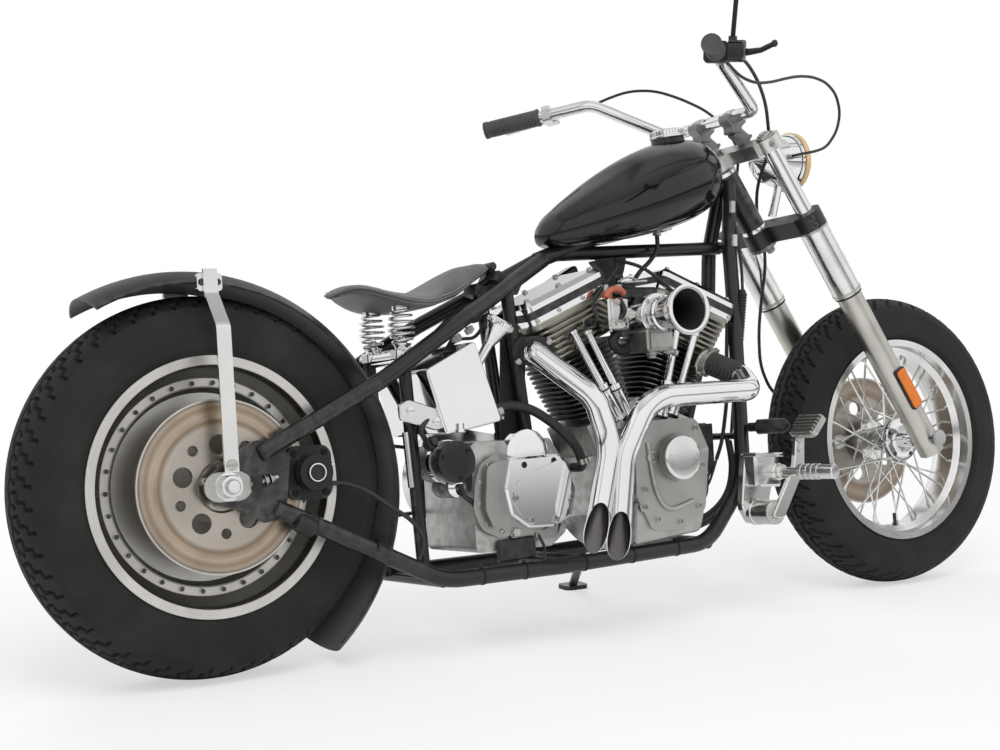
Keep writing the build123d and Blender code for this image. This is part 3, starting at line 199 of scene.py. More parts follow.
def edges(tree):
    """1 on worn outer edges, 0 elsewhere, broken up by noise."""
    made = node(tree, "ShaderNodeNewGeometry")
    worn = span(tree, made.outputs["Pointiness"], 0.0, 1.0, 0.53, 0.6)
    return math(tree, "MULTIPLY", worn, span(tree, noise(tree, 60.0), 0.2, 1.0, 0.4, 0.6))


def metal(name, color, rough, spread=0.05, grain=900.0, grain_mm=0.02, dark=0.85, wear=0.0):
    """Bare or plated metal, a little cloudy in colour and roughness, worn brighter at its edges."""
    mat, tree, shader = new_material(name)
    shader.inputs["Metallic"].default_value = 1.0
    cloud = noise(tree, 9.0, 4.0)
    tone = ramp(tree, cloud, (0.3, toned(color, dark)), (0.7, color))
    if wear:
        tone = mixed(tree, math(tree, "MULTIPLY", edges(tree), wear), tone, (0.72, 0.71, 0.69))
    coat(tree, shader, tone, span(tree, cloud, rough - spread, rough + spread))
    bump(tree, shader, noise(tree, grain, 2.0), 0.25, grain_mm)
    return mat


def paint(name, color, rough, peel=0.03, wear=0.0):
    """Sprayed paint with slight orange peel and a dusty cloudiness."""
    mat, tree, shader = new_material(name)
    cloud = noise(tree, 6.0, 3.0)
    tone = ramp(tree, cloud, (0.3, toned(color, 0.75)), (0.7, color))
    if wear:
        tone = mixed(tree, math(tree, "MULTIPLY", edges(tree), wear), tone, (0.12, 0.12, 0.12))
    coat(tree, shader, tone, span(tree, cloud, rough * 0.8, rough * 1.25))
    bump(tree, shader, noise(tree, 220.0, 1.0), 0.12, peel)
    return mat


def rubber(name, color, rough, grain=1500.0, grain_mm=0.05):
    """Moulded rubber, faintly dusty and finely grained."""
    mat, tree, shader = new_material(name)
    dust = noise(tree, 12.0, 6.0)
    tone = ramp(tree, dust, (0.4, color), (0.75, [c * 1.7 + 0.004 for c in color]))
    coat(tree, shader, tone, span(tree, dust, rough - 0.08, rough + 0.1))
    bump(tree, shader, noise(tree, grain, 2.0), 0.3, grain_mm)
    return mat


def leather(name, color):
    """Grained upholstery leather: fine cells with soft creases between them, the creases darkened as painted
    shade.
    """
    mat, tree, shader = new_material(name)
    cells = node(tree, "ShaderNodeTexVoronoi", Scale=520.0, feature="DISTANCE_TO_EDGE")
    tree.links.new(coords(tree), cells.inputs["Vector"])
    cloud = noise(tree, 14.0, 5.0)
    tone = ramp(tree, cloud, (0.35, toned(color, 0.75)), (0.7, toned(color, 1.15)))
    crease = span(tree, cells.outputs["Distance"], 0.0, 1.0, 0.0, 0.12)
    # painted shade: the colour is darkened in the creases between the grain's cells, on top of their bump
    tone = mixed(tree, crease, toned(color, 0.55), tone)
    coat(tree, shader, tone, span(tree, cloud, 0.4, 0.56))
    bump(tree, shader, crease, 0.35, 0.18)
    bump(tree, shader, noise(tree, 45.0, 3.0), 0.2, 0.5)
    return mat


def from_axle(tree, centre):
    """Distance in metres from a wheel's axis, in the wheel's own plane."""
    moved = node(tree, "ShaderNodeVectorMath", operation="SUBTRACT")
    tree.links.new(coords(tree), moved.inputs[0])
    moved.inputs[1].default_value = centre
    axle = TILT.to_3x3() @ Vector(LEFT)
    aside = node(tree, "ShaderNodeVectorMath", operation="CROSS_PRODUCT")
    tree.links.new(moved.outputs[0], aside.inputs[0])
    aside.inputs[1].default_value = axle
    length = node(tree, "ShaderNodeVectorMath", operation="LENGTH")
    tree.links.new(aside.outputs[0], length.inputs[0])
    return length.outputs["Value"]


def turned_metal(name, centre, rough, stops, ring_mm=0.9):
    """Lathe-turned metal: colours by radius, and fine rings in its colour and bump."""
    mat, tree, shader = new_material(name)
    shader.inputs["Metallic"].default_value = 1.0
    radius = from_axle(tree, centre)
    tone = ramp(tree, math(tree, "MULTIPLY", radius, 1 / 0.24), *[(r / 240, c) for r, c in stops])
    rings = node(tree, "ShaderNodeTexNoise", Scale=1.0, Detail=2.0, noise_dimensions="1D")
    tree.links.new(math(tree, "MULTIPLY", radius, 1000 / ring_mm), rings.inputs["W"])
    streak = span(tree, rings.outputs["Fac"], 0.8, 1.12, 0.3, 0.7)
    cloud = span(tree, noise(tree, 14.0, 5.0), 0.86, 1.08, 0.3, 0.7)
    shade = node(tree, "ShaderNodeVectorMath", operation="SCALE")
    tree.links.new(tone, shade.inputs[0])
    tree.links.new(math(tree, "MULTIPLY", streak, cloud), shade.inputs["Scale"])
    coat(tree, shader, shade.outputs[0], span(tree, rings.outputs["Fac"], rough - 0.07, rough + 0.1))
    bump(tree, shader, rings.outputs["Fac"], 0.3, 0.06)
    return mat


def split_metal(name, frame_axis, level, below, above):
    """Two finishes on one casting, parted at a level along an axis; each is (colour, metallic, roughness)."""
    mat, tree, shader = new_material(name)
    dot = node(tree, "ShaderNodeVectorMath", operation="DOT_PRODUCT")
    tree.links.new(coords(tree), dot.inputs[0])
    dot.inputs[1].default_value = frame_axis
    part = span(tree, dot.outputs["Value"], 0.0, 1.0, level - 0.0004, level + 0.0004)
    cloud = span(tree, noise(tree, 16.0, 5.0), 0.85, 1.05, 0.3, 0.7)
    shade = node(tree, "ShaderNodeVectorMath", operation="SCALE")
    tree.links.new(mixed(tree, part, below[0], above[0]), shade.inputs[0])
    tree.links.new(cloud, shade.inputs["Scale"])
    tree.links.new(shade.outputs[0], shader.inputs["Base Color"])
    tree.links.new(span(tree, part, below[1], above[1]), shader.inputs["Metallic"])
    rough = math(tree, "MULTIPLY", span(tree, part, below[2], above[2]), cloud)
    tree.links.new(rough, shader.inputs["Roughness"])
    bump(tree, shader, noise(tree, 700.0, 2.0), 0.25, 0.05)
    return mat


def lens(name, color, rough, through, cell):
    """Clear moulded lens with a fluted or prismatic back."""
    mat, tree, shader = new_material(name)
    shader.inputs["Transmission Weight"].default_value = through
    shader.inputs["IOR"].default_value = 1.5
    cells = node(tree, "ShaderNodeTexChecker", Scale=cell)
    tree.links.new(coords(tree), cells.inputs["Vector"])
    tone = ramp(tree, noise(tree, 30.0), (0.3, toned(color, 0.85)), (0.7, color))
    coat(tree, shader, tone, span(tree, noise(tree, 20.0), rough, rough * 2))
    bump(tree, shader, cells.outputs["Fac"], 0.25, 0.3)
    return mat


def wrap(name, color):
    """Woven heat wrap."""
    mat, tree, shader = new_material(name)
    weave = node(tree, "ShaderNodeTexWave", Scale=90.0, Distortion=1.5, wave_type="BANDS")
    tree.links.new(coords(tree), weave.inputs["Vector"])
    tone = ramp(tree, weave.outputs["Fac"], (0.2, toned(color, 0.4)), (0.8, color))
    coat(tree, shader, tone, span(tree, noise(tree, 30.0), 0.6, 0.9))
    bump(tree, shader, weave.outputs["Fac"], 0.6, 0.5)
    return mat


FRONT_AXLE = BIKE @ Vector((WHEELBASE, 0, FRONT_Z))
UP_STEER = (FORK.to_3x3() @ Vector(UP)).normalized()


def steer_level(s):
    """Place along the steering axis's direction of a point s up it."""
    return UP_STEER.dot(FORK @ Vector((0, 0, s)))


CHROME = metal("chrome", (0.83, 0.83, 0.84), 0.06, 0.03, 60.0, 0.01, 0.95)
POLISHED = metal("polished_alloy", (0.78, 0.775, 0.765), 0.16, 0.06, 500.0, 0.02, 0.88, 0.3)
CAST = metal("cast_alloy", (0.46, 0.455, 0.44), 0.42, 0.1, 700.0, 0.12, 0.72, 0.5)
GLOSS_BLACK = paint("gloss_black", (0.006, 0.006, 0.007), 0.09)
FRAME_BLACK = paint("frame_black", (0.012, 0.012, 0.013), 0.26, 0.05, 0.5)
SATIN_BLACK = paint("satin_black", (0.011, 0.011, 0.0115), 0.42, 0.04, 0.4)
TYRE = rubber("tyre_rubber", (0.011, 0.011, 0.0105), 0.66)
BLACK_RUBBER = rubber("black_rubber", (0.016, 0.016, 0.017), 0.5)
GRIP = rubber("grip_rubber", (0.05, 0.051, 0.053), 0.55)
FIN = metal("fin_metal", (0.115, 0.11, 0.1), 0.5, 0.1, 500.0, 0.08, 0.6, 0.7)
HEAD_FIN = metal("head_metal", (0.44, 0.42, 0.36), 0.44, 0.1, 500.0, 0.08, 0.6, 0.6)
DARK_METAL = metal("dark_metal", (0.1, 0.1, 0.105), 0.38, 0.1, 600.0, 0.05, 0.7, 0.5)
STEEL = metal("zinc_steel", (0.56, 0.55, 0.52), 0.3, 0.1, 500.0, 0.04, 0.75, 0.4)
# the thin dark rings at 169 and 203 mm are painted shade in the rim's grooves
WHEEL_ALLOY = turned_metal("wheel_alloy", REAR_AXLE, 0.33, [
    (0, (0.45, 0.44, 0.41)), (150, (0.5, 0.49, 0.45)), (167, (0.52, 0.51, 0.47)), (169, (0.14, 0.13, 0.12)),
    (171, (0.64, 0.62, 0.58)), (182, (0.62, 0.6, 0.56)), (185, (0.4, 0.39, 0.37)), (199, (0.36, 0.355, 0.34)),
    (203, (0.12, 0.115, 0.11)), (205, (0.72, 0.7, 0.66)), (240, (0.72, 0.7, 0.66)),
])
ROTOR = turned_metal("rotor_steel", REAR_AXLE, 0.3, [
    (0, (0.55, 0.51, 0.45)), (90, (0.53, 0.48, 0.42)), (101, (0.56, 0.5, 0.43)), (108, (0.3, 0.23, 0.16)),
    (114, (0.42, 0.33, 0.25)), (122, (0.54, 0.46, 0.37)), (131, (0.36, 0.27, 0.19)), (138, (0.5, 0.42, 0.34)),
    (142, (0.2, 0.17, 0.14)), (144, (0.7, 0.67, 0.62)), (240, (0.7, 0.67, 0.62)),
])
FRONT_ROTOR = turned_metal("front_rotor_steel", FRONT_AXLE, 0.3, [
    (0, (0.5, 0.47, 0.42)), (95, (0.5, 0.47, 0.42)), (104, (0.33, 0.26, 0.2)), (120, (0.5, 0.42, 0.34)),
    (136, (0.36, 0.28, 0.22)), (141, (0.65, 0.62, 0.57)), (240, (0.65, 0.62, 0.57)),
])
FRONT_METAL = turned_metal("front_wheel_alloy", FRONT_AXLE, 0.14, [
    (0, (0.8, 0.8, 0.79)), (240, (0.8, 0.8, 0.79)),
])
LEATHER = leather("leather", (0.15, 0.15, 0.153))
THREAD = rubber("thread", (0.3, 0.3, 0.3), 0.7)
PIPE_BORE = metal("pipe_bore", (0.2, 0.19, 0.185), 0.34, 0.08, 300.0, 0.05, 0.6)
RISER_METAL = metal("riser_metal", (0.3, 0.3, 0.3), 0.5, 0.08, 800.0, 0.06, 0.85)
LEVER_BLACK = paint("lever_black", (0.016, 0.016, 0.017), 0.3)
AMBER = lens("amber_lens", (0.85, 0.22, 0.02), 0.08, 0.15, 260.0)
AMBER_RIM = paint("amber_rim", (0.82, 0.56, 0.27), 0.3)
GLASS = lens("lens", (0.93, 0.95, 0.96), 0.02, 0.85, 120.0)
MIRROR_GLASS = metal("mirror_glass", (0.88, 0.89, 0.9), 0.02, 0.01, 50.0, 0.005, 0.97)
WRAP = wrap("heat_wrap", (0.06, 0.058, 0.055))
ORANGE = rubber("orange_fitting", (0.36, 0.1, 0.055), 0.4)
WHITE = rubber("pale_connector", (0.5, 0.5, 0.48), 0.45)
CLAMPS = split_metal(
    "clamp_metal", UP_STEER, steer_level(650.0),
    ((0.014, 0.014, 0.015), 0.0, 0.34), ((0.74, 0.735, 0.72), 1.0, 0.34),
)
SLIDERS = split_metal(
    "slider_metal", UP_STEER, steer_level(COVER_S),
    ((0.6, 0.585, 0.54), 1.0, 0.33), ((0.82, 0.815, 0.8), 1.0, 0.16),
)

FINISHES = (
    (TYRE, "rear_tyre front_tyre"),
    (WHEEL_ALLOY, "rear_wheel"),
    (ROTOR, "rear_rotor"),
    (POLISHED, "rear_pulley fender_struts carburettor air_horn primary_cover foot_controls clutch_control"),
    (FRONT_METAL, "front_wheel"),
    (FRONT_ROTOR, "front_rotor"),
    (FRAME_BLACK, "frame_tubes side_stand"),
    (CHROME,
     "rear_axle seat_springs oil_tank gearbox_cover rocker_boxes pushrod_tubes exhaust_pipes "
     "fuel_cap fork_tubes front_axle headlight handlebar"),
    (SATIN_BLACK, "rear_caliper rear_fender regulator turn_signals front_caliper brake_control mirror"),
    (LEATHER, "seat"),
    (DARK_METAL, "starter"),
    (CAST, "gearbox crankcase cam_cover risers"),
    (FIN, "cylinders"),
    (HEAD_FIN, "heads"),
    (BLACK_RUBBER, "drive_belt brake_hose throttle_cable clutch_cable oil_hose rear_brake_hose fuel_line"),
    (GLOSS_BLACK, "fuel_tank"),
    (SLIDERS, "fork_sliders"),
    (CLAMPS, "triple_clamps"),
    (AMBER, "reflectors"),
    (GLASS, "headlight_lens"),
    (GRIP, "grips"),
)
for finish, names in FINISHES:
    for name in names.split():
        NODES[name].data.materials.clear()
        NODES[name].data.materials.append(finish)
# how strongly the blacks catch the light head on
for finish, level in ((SATIN_BLACK, 0.38), (TYRE, 0.3)):
    finish.node_tree.nodes["Principled BSDF"].inputs["Specular IOR Level"].default_value = level


# ---------------------------------------------------------------- pieces from points and faces
class Form:
    """One piece of the scene, gathered from simple shapes drawn in millimetres."""

    def __init__(self):
        self.rows = []
        self.faces = []
        self.count = 0

    def add(self, points, faces, at=BIKE):
        """Points in the frame at, and faces that number them from 0."""
        matrix = np.array(at)
        points = np.array(points, float) @ matrix[:3, :3].T + matrix[:3, 3]
        self.rows.append(points)
        self.faces += [[self.count + i for i in face] for face in faces]
        self.count += len(points)

    def grid(self, points, rows, columns, at=BIKE, around=True, caps=True):
        """A skin over rows of points, closed around its columns, with a face at each end."""
        faces = []
        for row in range(rows - 1):
            for column in range(columns if around else columns - 1):
                a, b = row * columns + column, row * columns + (column + 1) % columns
                faces.append((a, b, b + columns, a + columns))
        if caps:
            faces.append(range(columns - 1, -1, -1))
            faces.append(range((rows - 1) * columns, rows * columns))
        self.add(points, faces, at)

    def turned(self, at, profile, sides=32, caps=True):
        """A round shape: (place along the axis, radius) pairs, from its foot to its top."""
        turns = [2 * pi * i / sides for i in range(sides)]
        points = [(r * cos(t), r * sin(t), z) for z, r in profile for t in turns]
        self.grid(points, len(profile), sides, at, True, caps)

    def ring(self, at, profile, sides=48):
        """A ring turned from a closed outline of (place along the axis, radius) pairs."""
        self.turned(at, list(profile) + [profile[0]], sides, False)

    def prism(self, at, outline, low, high, bevel=0.0):
        """An outline drawn anticlockwise and extruded from low to high, its top edge bevelled."""
        outline = np.array(outline, float)
        levels = [(low, 0.0), (high, 0.0)] if not bevel else [(low, 0.0), (high - bevel, 0.0), (high, bevel)]
        before = outline - np.roll(outline, 1, 0)
        after = np.roll(outline, -1, 0) - outline
        before /= np.linalg.norm(before, axis=1)[:, None]
        after /= np.linalg.norm(after, axis=1)[:, None]
        inward = np.stack([-(before + after)[:, 1], (before + after)[:, 0]], 1)
        inward /= np.maximum(0.4, (inward**2).sum(1) / 2)[:, None]
        points = []
        for level, inset in levels:
            points += [(x, y, level) for x, y in outline + inward * inset]
        self.grid(points, len(levels), len(outline), at)

    def swept(self, path, radius, sides=10, base=BIKE, closed=False):
        """A round section carried along a path of points; radius is one number or one for each point."""
        path = [Vector(point) for point in path]
        radii = radius if hasattr(radius, "__len__") else [radius] * len(path)
        count = len(path)
        side = None
        points = []
        for i, point in enumerate(path):
            ahead = path[(i + 1) % count] if closed or i < count - 1 else point
            behind = path[i - 1] if closed or i > 0 else point
            along = (ahead - behind).normalized()
            side = along.orthogonal() if side is None else side - along * side.dot(along)
            side.normalize()
            other = along.cross(side)
            for k in range(sides):
                turn = 2 * pi * k / sides
                points.append(point + (side * cos(turn) + other * sin(turn)) * radii[i])
        if closed:
            points += points[:sides]
            count += 1
        self.grid([tuple(p) for p in points], count, sides, base, True, not closed)

    def cord(self, points, count, radius, sides=10):
        """A round section swept along a smooth path through a few points."""
        self.swept(wire(points, count), radius, sides)

    def bolt(self, at, r):
        """A cap screw with a washer and a hex recess; r is the radius of its head."""
        self.turned(at, [(0, 1.4 * r), (0.22 * r, 1.4 * r), (0.22 * r, r), (0.9 * r, r),
                         (1.05 * r, 0.86 * r)], 20)
        self.turned(at, [(1.05 * r, 0.86 * r), (1.05 * r, 0.55 * r), (0.55 * r, 0.5 * r)], 6)

    def nut(self, at, r, height):
        """A hex nut with a washer; r is the radius to its corners."""
        self.turned(at, [(0, 1.2 * r), (0.15 * r, 1.2 * r)], 24)
        self.prism(at, hexagon(r), 0.15 * r, height, 0.12 * r)

    def make(self, name, mat, body, slot, sharp=38.0):
        """Turn the form into a piece that rides on a body."""
        mesh = bpy.data.meshes.new(name)
        mesh.from_pydata(np.concatenate(self.rows).tolist(), [], self.faces)
        mesh.update()
        mesh.materials.append(mat)
        mesh.polygons.foreach_set("use_smooth", [True] * len(mesh.polygons))
        mesh.set_sharp_from_angle(angle=radians(sharp))
        piece = bpy.data.objects.new(name, mesh)
        bpy.context.scene.collection.objects.link(piece)
        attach(piece, body)
        return piece


def through(places, values, count):
    """Smooth curves through values given at increasing places, sampled count times."""
    places, values = np.array(places, float), np.array(values, float)
    slopes = np.gradient(values, places, axis=0)
    out = np.linspace(places[0], places[-1], count)
    i = np.clip(np.searchsorted(places, out, "right") - 1, 0, len(places) - 2)
    step = (places[i + 1] - places[i])[:, None]
    t = (out - places[i])[:, None] / step
    return out, (
        (2 * t**3 - 3 * t**2 + 1) * values[i] + (t**3 - 2 * t**2 + t) * step * slopes[i]
        + (3 * t**2 - 2 * t**3) * values[i + 1] + (t**3 - t**2) * step * slopes[i + 1]
    )


def wire(points, count=40):
    """A smooth path through a few points."""
    return through(range(len(points)), points, count)[1].tolist()


def hexagon(radius):
    """A hexagon's outline; radius is to its corners."""
    return [(radius * cos(pi / 3 * i), radius * sin(pi / 3 * i)) for i in range(6)]


def rounded(half_x, half_y, corner, steps=6):
    """A rounded rectangle's outline, anticlockwise."""
    outline = []
    for quarter, (sx, sy) in enumerate(((1, 1), (-1, 1), (-1, -1), (1, -1))):
        for step in range(steps + 1):
            turn = pi / 2 * (quarter + step / steps)
            outline.append((sx * (half_x - corner) + corner * cos(turn),
                            sy * (half_y - corner) + corner * sin(turn)))
    return outline


def softened(points, corner=8.0, steps=4):
    """An outline of straight sides with its corners rounded."""
    outline = []
    count = len(points)
    for i, (x, y) in enumerate(points):
        here = Vector((x, y))
        back, ahead = Vector(points[i - 1]) - here, Vector(points[(i + 1) % count]) - here
        cut = min(corner, back.length * 0.45, ahead.length * 0.45)
        a, b = here + back.normalized() * cut, here + ahead.normalized() * cut
        for step in range(steps + 1):
            t = step / steps
            outline.append(tuple(a * (1 - t) ** 2 + here * 2 * t * (1 - t) + b * t**2))
    return outline


def plate(y):
    """A drawing frame on the right-hand side: x forward, y up, z out of the bike from place y."""
    return spot((0, y, 0))


# ---------------------------------------------------------------- tyres
GROOVE_SLOPE = 1.3  # width of a groove's sloped wall


def tread_gap(along, across, lines, period):
    """Distance of points of the unrolled tread from the nearest groove line."""
    nearest = np.full(along.shape, 99.0)
    along = np.mod(along, period)
    for (ax, ay), (bx, by) in lines:
        dx, dy = bx - ax, by - ay
        for shift in (-period, 0, period):
            t = np.clip(((along - ax - shift) * dx + (across - ay) * dy) / (dx * dx + dy * dy), 0, 1)
            nearest = np.minimum(nearest, np.hypot(along - ax - shift - t * dx, across - ay - t * dy))
    return nearest


def make_tyre(name, body, centre, size, around, columns, pattern):
    """A tyre with grooves cut into its crown, in place of the CAD's plain ring.

    around and columns are the points round the tyre and across its crown; pattern is the groove
    lines, their repeats, and a groove's width and depth.
    """
    outer, half, crown, rim_half = size
    lines, repeats, width, depth = pattern
    edge = half * 0.86
    edge_r = outer - crown + (crown**2 - edge**2) ** 0.5
    low = LIP_R + 2
    rise = edge_r - low
    bead = rim_half - LIP_T - 0.3
    reach = np.arcsin(edge / crown)
    turn = np.linspace(-reach, reach, columns)
    crown_v, crown_r = crown * np.sin(turn), outer - crown + crown * np.cos(turn)
    wall = [
        (edge + 0.5, edge_r - 0.9), (edge + 1.6, edge_r - 3), (half * 0.945, low + 0.83 * rise),
        (half * 0.958, low + 0.79 * rise), (half * 0.955, low + 0.77 * rise),
        (half * 0.985, low + 0.6 * rise), (half, low + 0.42 * rise), (half * 0.998, low + 0.3 * rise),
        (half * 0.985, low + 0.18 * rise), (half * 0.992, low + 0.15 * rise),
        (half * 0.975, low + 0.1 * rise), (bead + 1.5, low + 2.5), (bead, low), (bead, SEAT_R + 1),
    ]
    v = np.concatenate([[-y for y, _ in reversed(wall)], crown_v, [y for y, _ in wall]])
    r = np.concatenate([[z for _, z in reversed(wall)], crown_r, [z for _, z in wall]])
    angles = np.linspace(0, 2 * pi, around, endpoint=False)
    along = np.repeat(angles[:, None] * outer, columns, 1)
    across = np.repeat(np.arange(columns)[None] / (columns - 1) * 2 - 1, around, 0) * reach * crown
    gap = tread_gap(along, across, lines, 2 * pi * outer / repeats)
    cut = depth * np.clip((width / 2 + GROOVE_SLOPE - gap) / GROOVE_SLOPE, 0, 1)
    radius = np.repeat(r[None], around, 0)
    lateral = np.repeat(v[None], around, 0)
    first = len(wall)
    radius[:, first:first + columns] -= cut * np.cos(turn)
    lateral[:, first:first + columns] -= cut * np.sin(turn)
    points = np.stack([
        radius * np.cos(angles)[:, None], lateral, radius * np.sin(angles)[:, None],
    ], 2) + np.array(centre)
    rows, count = around, len(v)
    form = Form()
    a = (np.arange(rows)[:, None] * count + np.arange(count - 1)[None]).ravel()
    b = ((np.arange(rows)[:, None] + 1) % rows * count + np.arange(count - 1)[None]).ravel()
    form.add(points.reshape(-1, 3), np.stack([a, a + 1, b + 1, b], 1).tolist())
    tyre = form.make(name + "_treaded", TYRE, body, "tyre", 55.0)
    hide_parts(name)


def both_sides(lines, shift):
    """Groove lines of one side, and the same on the other side, moved along by shift."""
    return lines + [((a + shift, -b), (c + shift, -d)) for (a, b), (c, d) in lines]


def chain(*points):
    """Groove segments through a row of points."""
    return list(zip(points, points[1:]))


REAR_BLOCKS, FRONT_BLOCKS = 52, 48  # repeats of the tread round each tyre
REAR_PITCH = 2 * pi * REAR_R / REAR_BLOCKS
REAR_TREAD = both_sides(
    chain((0, 10), (REAR_PITCH / 2, 18), (REAR_PITCH, 10))
    + chain((6, 22), (6, 36), (22, 37), (23, 54), (36, 55), (37, 71)) + chain((26, 24), (32, 31)),
    REAR_PITCH / 2,
)
FRONT_TREAD = both_sides(
    chain((0, 8), (13, 8), (14, 15), (28, 15), (29, 8), (41.4, 8))
    + chain((6, 21), (12, 33), (20, 33), (26, 46), (32, 46), (37, 60)) + chain((28, 22), (34, 31)),
    20.0,
)
make_tyre(
    "rear_tyre", "rear_wheel", (0, 0, HUB_Z), (REAR_R, REAR_W, REAR_CROWN, REAR_RIM_W),
    936, 78, (REAR_TREAD, REAR_BLOCKS, 4.2, 6.0),
)
make_tyre(
    "front_tyre", "front_wheel", (WHEELBASE, 0, FRONT_Z), (FRONT_R, FRONT_W, FRONT_CROWN, FRONT_RIM_W),
    912, 64, (FRONT_TREAD, FRONT_BLOCKS, 3.6, 5.5),
)


# ---------------------------------------------------------------- wheels
def polar(x, z, radius, count, start=0.0):
    """Places round a circle in a side view."""
    turns = [radians(start) + 2 * pi * i / count for i in range(count)]
    return [(x + radius * cos(t), z + radius * sin(t)) for t in turns]


def make_wheel_trim():
    """Rivets of the rear rim, hub bolts, nipples, the front hub cap, and valve stems of both wheels."""
    rivets, bolts, nipples, cover, holes = Form(), Form(), Form(), Form(), Form()
    for x, z in polar(0, HUB_Z, 176, 30):
        rivets.turned(spot((x, -34, z)), [(0, 4.4), (0.8, 4.4), (1.0, 3.6), (0.2, 3.0), (0.1, 2.2),
                                          (1.6, 1.6)], 12)
    rivets.make("rear_rim_rivets", DARK_METAL, "rear_wheel", "turned_alloy")
    for x, z in polar(0, HUB_Z, 33, 5, 90):
        bolts.bolt(spot((x, -107, z)), 5.6)
    bolts.make("rear_rotor_bolts", STEEL, "rear_wheel", "chrome")
    for i in range(40):
        turn, side = 2 * pi * i / 40, 1 if i % 2 else -1
        out = (cos(turn), 0, sin(turn))
        place = (WHEELBASE + 185 * cos(turn), side * 8.7, FRONT_Z + 185 * sin(turn))
        nipples.turned(spot(place, out), [(0, 2.6), (6, 3.2), (8, 3.2), (11.5, 4.0)], 10)
    nipples.make("spoke_nipples", STEEL, "front_wheel", "chrome")
    hub = spot((WHEELBASE, -48.0, FRONT_Z))
    cover.turned(hub, [(0, 31), (0, 46), (1.5, 47.5), (5, 47.5), (6.5, 46), (6.5, 33), (8.5, 29), (12, 27)],
                 64)
    cover.make("front_hub_disc", CHROME, "front_wheel", "chrome")
    for x, z in polar(WHEELBASE, FRONT_Z, 39.5, 5, 15):
        holes.turned(spot((x, -54.2, z)), [(0, 5.2), (0.5, 5.2), (0.55, 4.6)], 20)
    holes.make("front_hub_holes", DARK_METAL, "front_wheel", "turned_alloy")
    bolts = Form()
    for x, z in polar(WHEELBASE, FRONT_Z, 46, 5, 36):
        bolts.bolt(spot((x, 71, z), LEFT), 5)
    bolts.make("front_rotor_bolts", STEEL, "front_wheel", "chrome")
    for end, place, along in (
        ("rear", (0, 55, HUB_Z - 193), (0, 0.5, 1)), ("front", (WHEELBASE, -14, FRONT_Z - 192), UP),
    ):
        valve = Form()
        valve.turned(spot(place, along), [(0, 4), (14, 3.4), (15, 3.9), (26, 3.9), (28, 2.8)], 14)
        valve.make(end + "_valve", BLACK_RUBBER, end + "_wheel", "black_rubber")


make_wheel_trim()


# ---------------------------------------------------------------- rear end
def slot_outline(half_length, half_width, steps=10):
    """An outline with round ends, longer along x."""
    side = half_length - half_width
    outline = []
    for step in range(steps + 1):
        turn = -pi / 2 + pi * step / steps
        outline.append((side + half_width * cos(turn), half_width * sin(turn)))
    return outline + [(-x, -y) for x, y in outline]


